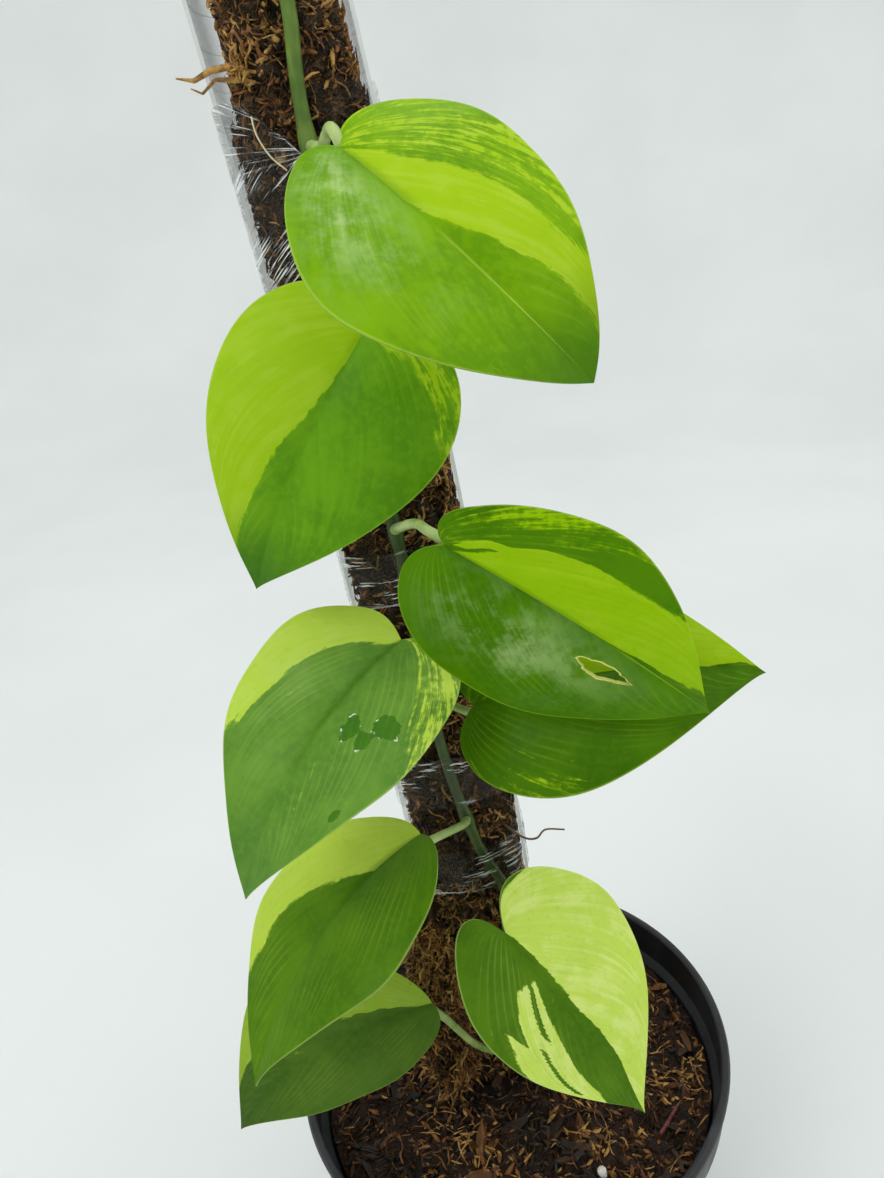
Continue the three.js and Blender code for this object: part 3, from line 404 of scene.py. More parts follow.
def trough_finish():
    """Clear rigid plastic: greyest where it is seen edge on, with bright cut lips and a little dust."""
    look = Finish("clear rigid plastic", 0.12, 0.8)
    _, back, up = look.axes()
    lip = back.step(-0.00232, -0.00242)
    bare = up.step(0.43, 0.46, 0.3, 1)
    dust = look.grain(800, 2).step(0.7, 0.78, 0, 0.25)
    smear = look.grain(24, place=look.stretched(z=0.4)).step(0.35, 0.7, 0.03, 0.1)
    cover = smear + dust + bare * look.facing().step(0.25, 0.8, 0, 0.42)
    look.set("Alpha", look.sum("MINIMUM", cover + lip * 0.55, 0.9))
    return look.coloured((160, 163, 165), (dust, (140, 130, 116)), (lip, (236, 238, 238)))


def film_finish(gathered):
    """Cling film: clear, with painted highlights along fine creases round the pole, or along creases drawn
    together towards a stalk.
    """
    look = Finish("cling film", 0.12)
    across, back, up = look.axes()
    turned = (0, math.radians(42 if gathered else 6), 0)
    slanted = look.add("Mapping", {"Vector": look.place(), "Rotation": turned})
    sway = look.add("TexNoise", {"Vector": look.place(), "Scale": 45, "Detail": 1}, "Color")
    drift = look.add("Mix", {0: 0.004, 4: slanted, 5: sway}, 1, data_type="VECTOR")
    crease = look.grain(1, 2, 0.5, look.stretched(100, 100, 2200, drift))
    cluster = look.grain(1, 2, 0.5, look.stretched(40, 40, 150, slanted))
    if gathered:
        out, rise = across + 0.0125, up - 0.4385
        turn = look.sum("ARCTAN2", rise, out)
        reach = look.sum("SQRT", out * out + rise * rise)
        spokes = look.add("CombineXYZ", {0: turn * 44, 1: reach * 45, 2: back * 40})
        drawn = look.grain(1, 2, 0.5, spokes).step(0.53, 0.64) * cluster.step(0.34, 0.62, 0.12, 0.65)
        upper = up.step(0.43, 0.442)
        bright = crease.step(0.52, 0.62) * cluster.step(0.3, 0.52, 0, 0.75) * upper.step(1, 0) + drawn * upper
    else:
        bright = crease.step(0.58, 0.66) * cluster.step(0.46, 0.62)
    rim = look.own("rim").step(0, 0.5) * cluster.step(0.42, 0.65, 0, 0.22)
    # Painted highlights: the white on the creases and along the band's edges stands in for light glinting on
    # the film.
    white = bright * back.step(0.014, -0.004, 0.2, 0.75) + rim
    look.set("Alpha", look.sum("MINIMUM", white + look.facing().step(0.5, 1, 0.1, 0.14), 0.92))
    look.relief(look.grain(1, 2, 0.6, look.stretched(60, 60, 500, slanted)), 0.0003, 0.5)
    return look.coloured((70, 66, 58), (white.step(0.05, 0.3), (250, 252, 252)))


def pot_finish():
    look = Finish("moulded black plastic", specular=0.4)
    scuff = look.grain(60, 4, place=look.stretched(z=0.3))
    look.set("Roughness", scuff.step(0.3, 0.7, 0.34, 0.55))
    look.relief(look.grain(1500), 0.0002, 0.25)
    return look.coloured((27, 28, 31), (scuff.step(0.45, 0.75), (48, 49, 52)))


def soil_finish():
    look = Finish("potting mix", specular=0.3)
    clump, crumb = look.grain(190, 4), look.grain(900)
    look.set("Roughness", crumb.step(0.3, 0.7, 0.55, 0.95))
    look.relief(crumb + clump * 2, 0.0012, 0.9)
    return look.coloured((11, 6, 3), (clump.step(0.35, 0.6), (40, 24, 11)),
                         (crumb.step(0.5, 0.75, 0, 0.6), (80, 50, 24)))


def chip_finish():
    """Bark and husk chips, each with a tone of its own."""
    look = Finish("bark chips", specular=0.35)
    ring = look.grain(500, place=look.stretched(y=0.3))
    ramp = look.add("ValToRGB", {"Fac": look.own("tone") + ring.step(0.3, 0.7, -0.12, 0.12)}, "Color")
    stops = ((0, (15, 9, 5)), (0.3, (42, 25, 12)), (0.55, (76, 47, 22)), (0.75, (112, 72, 34)),
             (0.9, (146, 100, 52)), (1, (176, 132, 78)))
    elements = ramp.socket.node.color_ramp.elements
    while len(elements) < len(stops):
        elements.new(0.5)
    for element, (place, colour) in zip(elements, stops):
        element.position = place
        element.color = paint(*colour)
    look.set("Roughness", ring.step(0.3, 0.7, 0.45, 0.85))
    look.relief(ring, 0.0005, 0.7)
    return look.coloured(ramp)


def speckled_finish(name, main, spot):
    look = Finish(name, 0.6)
    fleck = look.grain(1300)
    look.relief(fleck, 0.0003, 0.6)
    return look.coloured(main, (fleck.step(0.45, 0.7), spot))


# Putting pieces together

def add_object(name, data):
    made = bpy.data.objects.new(name, data)
    scene.collection.objects.link(made)
    return made


def kind_in(parts, kind):
    return [part for part in parts if isinstance(part, kind)]


def object_from(bm, name):
    """Turns a mesh under way from millimetres to metres and into an object."""
    bmesh.ops.scale(bm, vec=(MM, MM, MM), verts=bm.verts)
    mesh = bpy.data.meshes.new(name)
    bm.to_mesh(mesh)
    bm.free()
    return add_object(name, mesh)


def piece_from(bm, name, finishes, nodes=(), sharp=40):
    piece = object_from(bm, name)
    for finish in finishes:
        piece.data.materials.append(finish)
    piece.data.shade_smooth()
    piece.data.set_sharp_from_angle(angle=math.radians(sharp))
    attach(piece, "root")
    if nodes:
        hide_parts(*nodes)
    return piece


def turned(profile, steps, gap=1e-3):
    """A profile of radii and heights, turned once round the upright axis."""
    bm = bmesh.new()
    verts = [bm.verts.new((radius, 0, z)) for radius, z in profile]
    edges = [bm.edges.new(pair) for pair in zip(verts, verts[1:])]
    bmesh.ops.spin(bm, geom=verts + edges, cent=(0, 0, 0), axis=(0, 0, 1), angle=2 * math.pi, steps=steps,
                   use_merge=True)
    bmesh.ops.remove_doubles(bm, verts=bm.verts, dist=gap)
    bmesh.ops.recalc_face_normals(bm, faces=bm.faces)
    return bm


def add_rods(bm, strands, slot_index=0, roundness=0):
    """Adds closed rods to a mesh. Each strand is its points and the radius at each of them."""
    curve = bpy.data.curves.new("rods", "CURVE")
    curve.dimensions = "3D"
    curve.bevel_depth = 1
    curve.bevel_resolution = roundness
    curve.use_fill_caps = True
    for points, radii in strands:
        spline = curve.splines.new("POLY")
        spline.points.add(len(points) - 1)
        for knot, point, radius in zip(spline.points, points, radii):
            knot.co = (*point, 1)
            knot.radius = radius
    holder = add_object("rods", curve)
    mesh = bpy.data.meshes.new_from_object(holder.evaluated_get(bpy.context.evaluated_depsgraph_get()))
    start = len(bm.faces)
    bm.from_mesh(mesh)
    bm.faces.ensure_lookup_table()
    for face in bm.faces[start:]:
        face.material_index = slot_index
    bpy.data.objects.remove(holder)
    bpy.data.curves.remove(curve)
    bpy.data.meshes.remove(mesh)


def rods(*sets, roundness=0):
    """A mesh under way of closed rods, with a finish of its own for each set of strands."""
    bm = bmesh.new()
    for index, strands in enumerate(sets):
        add_rods(bm, strands, index, roundness)
    return bm


# Leaves

def midrib_at(leaf, share):
    base = Vector(leaf["base"])
    chord = Vector(leaf["tip"]) - base
    reach = chord.length
    chord.normalize()
    facing = (LIGHT - chord * LIGHT.dot(chord)).normalized()
    facing.rotate(Quaternion(chord, math.radians(leaf["roll"])))
    side = facing.cross(chord)
    arch = math.radians(leaf["arch"])
    radius = reach / (2 * math.sin(arch / 2))
    on = min(max(share, 0), 1)
    pitch = arch * (0.5 - on)
    before = min(share, 0) * radius * arch
    forward = radius * (math.sin(arch / 2) - math.sin(pitch)) + before * math.cos(pitch)
    rise = radius * (math.cos(pitch) - math.cos(arch / 2)) + before * math.sin(pitch)
    point = base + chord * forward + facing * rise + side * (leaf["sweep"] * 4 * on * (1 - on))
    direction = chord * math.cos(pitch) + facing * math.sin(pitch)
    normal = facing * math.cos(pitch) - chord * math.sin(pitch)
    return point, direction, normal, side


def margin_reach(leaf, t):
    return math.sin(math.pi * t ** leaf["belly"]) ** 1.1 * (1 - leaf["drip"] * t ** 10)


def blade_point(leaf, t, s, lift=0.0):
    share = abs(s)
    margin = t - leaf["notch"] * (1 - t - math.exp(-t / LOBE_TURN))
    middle = t ** 1.6
    point, _, normal, side = midrib_at(leaf, middle + (margin - middle) * share)
    half = leaf["right" if s > 0 else "left"]
    out = share * max(margin_reach(leaf, t), 0)
    wave = leaf["ripple"] * math.sin(6 * math.pi * t + (1 if s > 0 else 2.6)) * share * out
    height = half * (leaf["fold"] * out - leaf["dome"] * out * out) + wave + lift
    return point + side * (half * out * (1 if s > 0 else -1)) + normal * height


def vein_index(t, across):
    """Which vein a place is on: a vein leaves the midrib at this share of the length."""
    swing = 0.75 * across ** 0.8
    ahead = t - swing
    return ahead / (1 - swing) if ahead > 0 else ahead


def lime_level(name, side, t, across):
    pattern = PATTERN[name]
    levels = pattern[side]
    soft = SOFTNESS[name]
    value = levels[0]
    for line, following in levels[1:]:
        value += (following - value) * smooth((t - follow(line, across)) / soft + 0.5)
    if side in pattern.get("strip", {}):
        width = follow(pattern["strip"][side], t)
        value += (GREEN - value) * smooth((width - across) / 0.05 + 0.5)
    for tone, start, start_t, end, end_t, width in pattern.get("fingers", {}).get(side, ()):
        run = (across - start) / (end - start)
        off = abs(t - start_t - (end_t - start_t) * run)
        ends = smooth(1.5 - off / width) * smooth(run, -0.05, 0.02) * smooth(run, 1.05, 0.9)
        value += (1.5 * tone - value) * ends
    if side in pattern.get("margin", {}):
        amount, inner, start, end = pattern["margin"][side]
        along = smooth(t, start - 0.1, start) * (1 - smooth(t, end, end + 0.1))
        value += amount * smooth(across, inner, 1) * along
    return value


def painted_sheen_share(name, side, t, across):
    """How strongly the painted sheen shows, pale patches that stand in for the leaf's soft gloss: on the left
    halves of leaves 1, 3 and 5 only.
    """
    peak = {"leaf_1": (0.3, 0.5, 0.7), "leaf_3": (0.46, 0.38, 0.5), "leaf_5": (0.45, 0.4, 0.12)}.get(name)
    if side == "right" or not peak:
        return 0
    along, out, strength = peak
    return strength * math.exp(-((t - along) / 0.25) ** 2 - ((across - out) / 0.32) ** 2)


def slit_place(leaf):
    """A rule that turns a place on the blade into millimetres along and across the slit."""
    centre_t, centre_s = SLIT["along"], SLIT["across"]
    centre = blade_point(leaf, centre_t, centre_s)
    length = (blade_point(leaf, centre_t + 0.02, centre_s) - centre).length / 0.02
    width = (blade_point(leaf, centre_t, centre_s - 0.02) - centre).length / 0.02
    turn = math.radians(SLIT["turn"])

    def place(t, s):
        x, y = (t - centre_t) * length, (centre_s - s) * width
        return x * math.cos(turn) + y * math.sin(turn), y * math.cos(turn) - x * math.sin(turn)

    return place


def slit_reach(x, y):
    turn = math.atan2(y / SLIT["half_width"], x / SLIT["half_length"])
    ragged = 1 + 0.08 * math.sin(4 * turn + 0.8) + 0.06 * math.sin(9 * turn) + 0.05 * math.sin(17 * turn)
    return math.hypot(x / SLIT["half_length"], y / SLIT["half_width"]) / ragged


def slit_distance(leaf, t, s):
    """Millimetres from the slit's edge, measured away from its centre."""
    x, y = slit_place(leaf)(t, s)
    reach = max(slit_reach(x, y), 1e-3)
    return min((1 - 1 / reach) * math.hypot(x, y), 5)


def tear(bm, leaf, along, across):
    """Opens the slit: the faces inside its outline go, and the corners round it move onto the outline."""
    place = slit_place(leaf)
    inside = []
    for face in bm.faces:
        t = sum(vert[along] for vert in face.verts) / len(face.verts)
        s = sum(vert[across] for vert in face.verts) / len(face.verts)
        if slit_reach(*place(t, s)) < 1:
            inside.append(face)
    ring = {vert for face in inside for vert in face.verts}
    bmesh.ops.delete(bm, geom=inside, context="FACES")
    for vert in ring:
        if vert.is_valid:
            reach = slit_reach(*place(vert[along], vert[across]))
            vert[along] = SLIT["along"] + (vert[along] - SLIT["along"]) / reach
            vert[across] = SLIT["across"] + (vert[across] - SLIT["across"]) / reach


def wetness(t, s):
    """Above 0 inside a patch of standing water, below it outside."""
    return max(1 - math.hypot((t - along) / long, (s - across) / wide) for along, across, long, wide in WET)


def between_ends(t):
    """Whether a place is clear of the blade's two ends, where its left and right sides meet."""
    return 1e-4 < t < 1 - 1e-4


def make_blade(name, finish):
    leaf = LEAVES[name]
    bm = bmesh.new()
    columns, rows = (80, 140) if "fingers" in PATTERN[name] else (56, 92)
    bmesh.ops.create_grid(bm, x_segments=columns, y_segments=rows, size=1)
    along = bm.verts.layers.float.new("t")
    across = bm.verts.layers.float.new("s")
    for vert in bm.verts:
        vert[along] = min(max(0.5 - 0.5 * math.cos(math.pi * (vert.co.y + 1) / 2), 0), 1)
        vert[across] = vert.co.x if abs(vert.co.x) > 1e-6 else 0
    if name == "leaf_3":
        tear(bm, leaf, along, across)
    for vert in bm.verts:
        vert.co = blade_point(leaf, vert[along], vert[across])
    bmesh.ops.remove_doubles(bm, verts=bm.verts, dist=1e-4)
    upper = bmesh.ops.extrude_face_region(bm, geom=bm.faces[:], use_keep_orig=True)["geom"]
    top = set(kind_in(upper, bmesh.types.BMVert))
    for vert in bm.verts:
        t, s = vert[along], vert[across]
        off = abs(s) * leaf["right" if s > 0 else "left"] * margin_reach(leaf, t)
        if vert in top:
            lift = -0.3 * math.exp(-(off / 0.9) ** 2) * smooth(1 - t, 0, 0.3)
        else:
            lift = -BLADE_THICKNESS + 0.35 * s * s - RIB * (1 - t) * math.exp(-(off / 1.3) ** 2)
        vert.co = blade_point(leaf, t, s, lift)
    marks = {key: bm.loops.layers.float.new(key)
             for key in ("lime", "vein", "across", "rib", "tip", "underside", "torn", "wet", "painted_sheen")}
    for face in bm.faces:
        inner = [vert[across] for vert in face.verts if between_ends(vert[along])]
        middle = sum(inner) / len(inner)
        side = "right" if middle > 0 else "left"
        under = sum(vert not in top for vert in face.verts) / len(face.verts)
        for loop in face.loops:
            t = loop.vert[along]
            s = loop.vert[across] if between_ends(t) else middle
            share = abs(s)
            values = dict(
                lime=lime_level(name, side, t, share),
                vein=vein_index(t, share) + (3 if side == "right" else 0), across=share,
                rib=follow(MIDRIB[name], t), tip=PAINTED_TIP_SHADE.get(name, 0) * smooth(t, 0.74, 1),
                painted_sheen=painted_sheen_share(name, side, t, share), underside=under,
                torn=slit_distance(leaf, t, s) if name == "leaf_3" else 5,
                wet=wetness(t, s) if name == "leaf_5" else -1)
            for key, value in values.items():
                loop[marks[key]] = value
    bmesh.ops.recalc_face_normals(bm, faces=bm.faces)
    piece_from(bm, "blade_" + name, [finish], [name], sharp=50)


# Stem, petioles and the rolled leaf

def stem_point(z):
    return min(curve_through(STEM_ROUTE, 400), key=lambda point: abs(point.z - z))


def stem_radius(z):
    nearest = min(abs(leaf["node"] - z) for leaf in LEAVES.values())
    return STEM_RADIUS + 0.6 * math.exp(-(nearest / 4) ** 2)


def make_stem(finish):
    points = curve_through(STEM_ROUTE, 200)
    strand_of_stem = (points, [stem_radius(point.z) for point in points])
    piece_from(rods([strand_of_stem], roundness=5), "climbing_stem", [finish], ["vine_stem"])


def petiole_route(leaf):
    start = stem_point(leaf["node"])
    point, direction, normal, _ = midrib_at(leaf, 0)
    drop = BLADE_THICKNESS + RIB + STALK_RADIUS + 0.6 - leaf.get("raised", 0)
    seat = point + direction * 2.5 - normal * drop
    if "via" in leaf:
        return [start, *leaf["via"], seat]
    arrive = point - direction * 5 - normal * (drop + 3)
    leave = (start + Vector((0, -5, 2))).lerp(arrive, 0.12)
    return [start, leave, arrive, seat]


def make_petiole(number, finish):
    points = curve_through(petiole_route(LEAVES[f"leaf_{number}"]), 40)
    radii = [STALK_RADIUS * (1.25 - (k / 39) * (1 - k / 39)) for k in range(40)]
    piece_from(rods([(points, radii)], roundness=4), f"leaf_stalk_{number}", [finish],
               [f"petiole_{number}"])


def make_rolled_leaf(finish):
    """The next leaf, still rolled: a slim spindle with the free edge winding up it."""
    start = Vector(STEM_ROUTE[-1]) + Vector((0, 0, 0.3))
    points = curve_through([start, start + Vector((1, -2, 23)), start + Vector((3, -9, 46))], 60)
    swell = [max(0.5, 3 * math.sin(math.pi * (0.22 + 0.78 * k / 59)) ** 0.8) for k in range(60)]
    seam = []
    for k, point in enumerate(points[4:-4]):
        angle = -1.9 + 2.2 * k / 51
        seam.append(point + Vector((math.cos(angle), math.sin(angle), 0)) * (swell[k + 4] - 0.12))
    bm = rods([(points, swell)], roundness=6)
    add_rods(bm, [(seam, [0.35] * len(seam))], roundness=2)
    piece_from(bm, "rolled_leaf", [finish], ["new_leaf"])


# The pole

def pole_centre(z):
    rise = max(0, z - BOW_START) / 100
    return POLE_LEAN + POLE_BOW * rise * rise


def make_channel(finish):
    """A trough of even wall, drawn as a half ring with two straight lips, and pulled up along the pole."""
    bm = bmesh.new()
    ends = [bm.verts.new((x, ARC_CENTRE, POLE_FOOT)) for x in (POLE_HALF - POLE_WALL, POLE_HALF)]
    edge = bm.edges.new(ends)
    spun = bmesh.ops.spin(bm, geom=[*ends, edge], cent=(0, ARC_CENTRE, 0), axis=(0, 0, 1), angle=math.pi,
                          steps=40)["geom_last"]
    for side in ([edge], kind_in(spun, bmesh.types.BMEdge)):
        lip = bmesh.ops.extrude_edge_only(bm, edges=side)["geom"]
        for vert in kind_in(lip, bmesh.types.BMVert):
            vert.co.y = POLE_FRONT
    front = bm.faces[:]
    rows = 60
    for row in range(1, rows + 1):
        made = bmesh.ops.extrude_face_region(bm, geom=front, use_keep_orig=row == 1)["geom"]
        front = kind_in(made, bmesh.types.BMFace)
        for vert in kind_in(made, bmesh.types.BMVert):
            vert.co.z = POLE_FOOT + (POLE_TOP - POLE_FOOT) * row / rows
    for vert in bm.verts:
        vert.co.x += pole_centre(vert.co.z)
    bmesh.ops.recalc_face_normals(bm, faces=bm.faces)
    piece_from(bm, "clear_trough", [finish], ["pole_channel"])


def shag(angle, z):
    return (math.sin(angle * 5 + z * 0.31) * 0.5 + math.sin(angle * 9 - z * 0.47 + 1.3) * 0.3
            + math.sin(z * 0.83 + angle * 3) * 0.3)


def moss_strip(left, z):
    """The clear strip between the moss and the trough's wall, on the left or on the right."""
    if left:
        return follow(((0, 0), (345, 0), (368, 2.4), (398, 2.4), (409, 0.3), (440, 0.3), (456, 3.8),
                       (MOSS_TOP, 6.2)), z)
    return follow(((0, 0), (440, 0), (456, 1.2), (MOSS_TOP, 3)), z)


def moss_radius(angle, z):
    side = POLE_HALF - POLE_WALL - 0.3
    width = side - moss_strip(math.cos(angle) < 0, z)
    if math.sin(angle) >= 0:
        return 1 / math.hypot(math.cos(angle) / width, math.sin(angle) / side)
    emerge = smooth(z, 99, 120.5)
    depth = 9.6 + 5 * emerge
    across = (abs(math.cos(angle)) / width) ** 3.2
    forward = (abs(math.sin(angle)) / depth) ** 3.2
    proud = smooth(-math.sin(angle), 0.56, 0.8)
    return (across + forward) ** (-1 / 3.2) + 1.3 * emerge * shag(angle, z) * proud


def in_band(z, reach=1.0):
    return any(low - reach < z < high + reach for _, low, high, _ in BANDS)


def moss_surface(angle, z, lift=0.0):
    radius = moss_radius(angle, z) + lift
    return Vector((pole_centre(z) + radius * math.cos(angle), ARC_CENTRE + radius * math.sin(angle), z))


def moss_weights(place):
    """Shares of dark, brown and tan fibres: darkest under the film, with golden clumps between."""
    if in_band(place.z, 0):
        return 0.66, 0.28, 0.06
    patch = noise.noise(place * 0.11) + 0.55 * noise.noise(place * 0.3)
    for x, z, reach in GOLDEN:
        patch += 0.7 * math.exp(-((place.x - x) ** 2 + (place.z - z) ** 2) / reach ** 2)
    gold = smooth(patch, -0.1, 0.35)
    gloom = smooth(patch, -0.05, -0.35)
    return 0.3 + 0.8 * gloom - 0.25 * gold, 0.4 + 0.2 * gold, 0.06 + 1.1 * gold


def clump_lift(angle, z):
    """How far the moss's clumps stand out of its plain form: softly outside the trough, hardly under film."""
    rough = Vector((math.cos(angle) * 5, math.sin(angle) * 5, z * 0.27))
    clump = noise.fractal(rough, 0.9, 2.1, 3)
    proud = smooth(-math.sin(angle), 0.1, 0.6)
    return -0.3 + proud * (3.6 * clump - 0.8) * (0.35 if in_band(z) else 1)


def make_moss(finish):
    """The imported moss: a column with a clumped face, closed at both ends."""
    bm = bmesh.new()
    bmesh.ops.create_grid(bm, x_segments=96, y_segments=380, size=1)
    for vert in bm.verts:
        turn, height = vert.co.x, (vert.co.y + 1) / 2
        angle = -math.pi / 2 + math.pi * (turn * 0.78 + 0.22 * turn ** 3)
        z = MOSS_FOOT + (MOSS_TOP - MOSS_FOOT) * height
        vert.co = moss_surface(angle, z, clump_lift(angle, z))
        if height > 0.999:
            vert.co.z += 3 * noise.noise(vert.co * 0.3) - 2
    bmesh.ops.remove_doubles(bm, verts=bm.verts, dist=1e-3)
    open_edges = [edge for edge in bm.edges if len(edge.link_faces) == 1]
    bmesh.ops.holes_fill(bm, edges=open_edges, sides=0)
    for vert in bmesh.ops.create_icosphere(bm, subdivisions=5, radius=1)["verts"]:
        way = vert.co.copy()
        swell = 1 + 0.16 * shag(way.z * 4, way.x * 30) + 0.16 * noise.fractal(way * 5, 0.9, 2.1, 3)
        vert.co = Matrix.Diagonal(SPILL_HALF) @ way * swell + SPILL_CENTRE
    bmesh.ops.recalc_face_normals(bm, faces=bm.faces)
    moss_piece(bm, "packed_moss", [finish])


def moss_piece(bm, name, finishes):
    piece_from(bm, name, finishes, ["moss_core"], sharp=180)


def toss(rng):
    return Vector([rng.uniform(-1, 1) for _ in range(3)])


def strand(root, heading, length, bend, radius, lift, rng, count=6):
    """A curled fibre that starts at root and runs along heading, lifting off by the given amount."""
    points = []
    place = root
    way = heading.normalized()
    curl = toss(rng) * bend
    for _ in range(count):
        points.append(place)
        way = (way + curl + toss(rng) * bend).normalized()
        place = place + way * (length / (count - 1))
        place.y -= lift / (count - 1)
    radii = [radius * (0.7 + 0.3 * math.sin(math.pi * (k + 0.6) / count)) for k in range(count)]
    radii[-1] *= 0.5
    return points, radii


def moss_strand(z, rng):
    """A curled fibre on the face of the moss. Neighbouring fibres share a drift, so that they form locks."""
    angle = -math.pi / 2 + math.pi * 0.44 * rng.uniform(-1, 1)
    banded = in_band(z, 4)
    root = moss_surface(angle, z, clump_lift(angle, z) + rng.uniform(-0.3, 0.5))
    around = Vector((-math.sin(angle), math.cos(angle), 0))
    drift = noise.noise_vector(root * 0.13) * 1.6
    heading = around * (drift.x + rng.uniform(-0.7, 0.7))
    heading.z += drift.z - 0.15 + rng.uniform(-0.6, 0.6)
    lift = 0.1 if banded else rng.uniform(-0.7, 1.4) + 0.8 * drift.y
    if rng.random() < 0.3:
        # A scrap of leaf: short and broad, tapered at both ends.
        length, thick = rng.uniform(1.6, 3.8), rng.uniform(0.32, 0.8)
        points, radii = strand(root, heading, length, 0.5, thick, lift, rng, 4)
        radii = [radii[0] * 0.4, radii[1], radii[2] * 0.9, radii[3] * 0.3]
    else:
        thick = 0.14 + 0.42 * rng.random() ** 2.2
        points, radii = strand(root, heading, rng.uniform(2.5, 7.5), 0.75, thick, lift, rng, 5)
    centre, side, front = pole_centre(z), POLE_HALF - 1.4, -8.6 if banded else -14.5
    low, high = centre - side + moss_strip(True, z), centre + side - moss_strip(False, z)
    top = MOSS_TOP + 1.5
    return [Vector((min(max(p.x, low), high), max(p.y, front), min(p.z, top))) for p in points], radii


def spill_strand(rng):
    turn = rng.uniform(0, 2 * math.pi)
    rise = rng.uniform(-0.94, 0.94)
    width = 0.96 * SPILL_HALF.x * math.sqrt(max(0.05, 1 - rise * rise))
    out = -0.6 - 3.2 * abs(math.sin(turn))
    root = SPILL_CENTRE + Vector((width * math.cos(turn), out, SPILL_HALF.z * rise))
    heading = Vector((rng.uniform(-1, 1), -0.2, rng.uniform(-1.2, 0.8)))
    length, thick, lift = rng.uniform(3, 8), 0.16 + 0.42 * rng.random() ** 2, rng.uniform(-0.5, 1.2)
    return strand(root, heading, length, 0.75, thick, lift, rng, 5)


def make_strands(name, seed, low, high, count, spilt, finishes):
    """Curled fibres matted over the face of the moss and over the spill at its foot, in three tones."""
    rng = random.Random(seed)
    tones = [[], [], []]
    for k in range(count + spilt):
        made = moss_strand(rng.uniform(low, high), rng) if k < count else spill_strand(rng)
        rng.choices(tones, moss_weights(made[0][0]))[0].append(made)
    moss_piece(rods(*tones), name, finishes)


def make_pressed_strands(finishes):
    """Fibres that lie flat against the back wall of the trough."""
    rng = random.Random(19)
    tones = [[], [], []]
    for _ in range(900):
        z = rng.uniform(14, 500)
        angle = rng.uniform(-0.35, math.pi + 0.35)
        rise = rng.uniform(-6, 6)
        sweep = rng.uniform(-0.35, 0.35)
        points = []
        for u in (0, 0.25, 0.5, 0.75, 1):
            points.append(moss_surface(angle + sweep * u + 0.06 * math.sin(5 * u + z), z + rise * u, -0.55))
        radius = rng.uniform(0.15, 0.35)
        rng.choices(tones, (0.36, 0.42, 0.22))[0].append((points, [radius] * 5))
    moss_piece(rods(*tones), "pressed_fibres", finishes)


def make_tufts(finishes):
    """The tuft that sticks out at the left near the top, a thin root over the film and a wiry one below."""
    rng = random.Random(3)
    stout = [
        (((-27, -4, 456), (-31, -5, 458.5), (-36, -6, 458), (-40, -6, 456.5), (-44, -6, 457.5)),
         (0.5, 0.9, 0.8, 0.6, 0.2)),
        (((-27, -4, 455), (-31, -6, 455.5), (-35, -7, 456), (-38.5, -7, 453.6), (-41, -6.5, 455)),
         (0.4, 0.7, 0.5, 0.35, 0.2)),
        (((-28, -3, 459), (-29.5, -4, 461), (-31, -5, 463)), (0.4, 0.4, 0.2)),
    ]
    for _ in range(16):
        root = Vector((-28 + rng.uniform(-2, 2), -5, 457 + rng.uniform(-2.5, 2.5)))
        heading = Vector((-1, -0.2, rng.uniform(-0.4, 0.4)))
        stout.append(strand(root, heading, rng.uniform(2, 5), 0.4, 0.28, 0.5, rng))
    thread = curve_through(((-27.9, -12.6, 447), (-27.4, -13.4, 443), (-25.2, -13.6, 438.4),
                            (-22, -13.7, 435)), 16)
    wire = curve_through(((6, -2, 233.6), (13, -10, 231.4), (17.5, -12.4, 231.8), (20.8, -12, 234.4),
                          (27, -12, 233.3)), 24)
    tuft = rods(stout, [(thread, [0.2] * 16)], [(wire, [0.4 - 0.006 * k for k in range(24)])], roundness=1)
    moss_piece(tuft, "loose_tufts", finishes)


# Film

def film_outline(angle, margin):
    width = POLE_HALF + 0.3 + margin
    depth = 9.8 + margin
    if math.sin(angle) >= 0:
        return width * math.cos(angle), ARC_CENTRE + width * math.sin(angle)
    flank = math.sin(math.pi / 7)
    turn = -math.sin(angle)
    if turn <= flank:
        return math.copysign(width, math.cos(angle)), ARC_CENTRE + (POLE_FRONT - ARC_CENTRE) * turn / flank
    sweep = math.cos(angle) / math.cos(math.asin(flank))
    return width * sweep, POLE_FRONT - depth * math.sqrt(max(0, 1 - sweep * sweep))


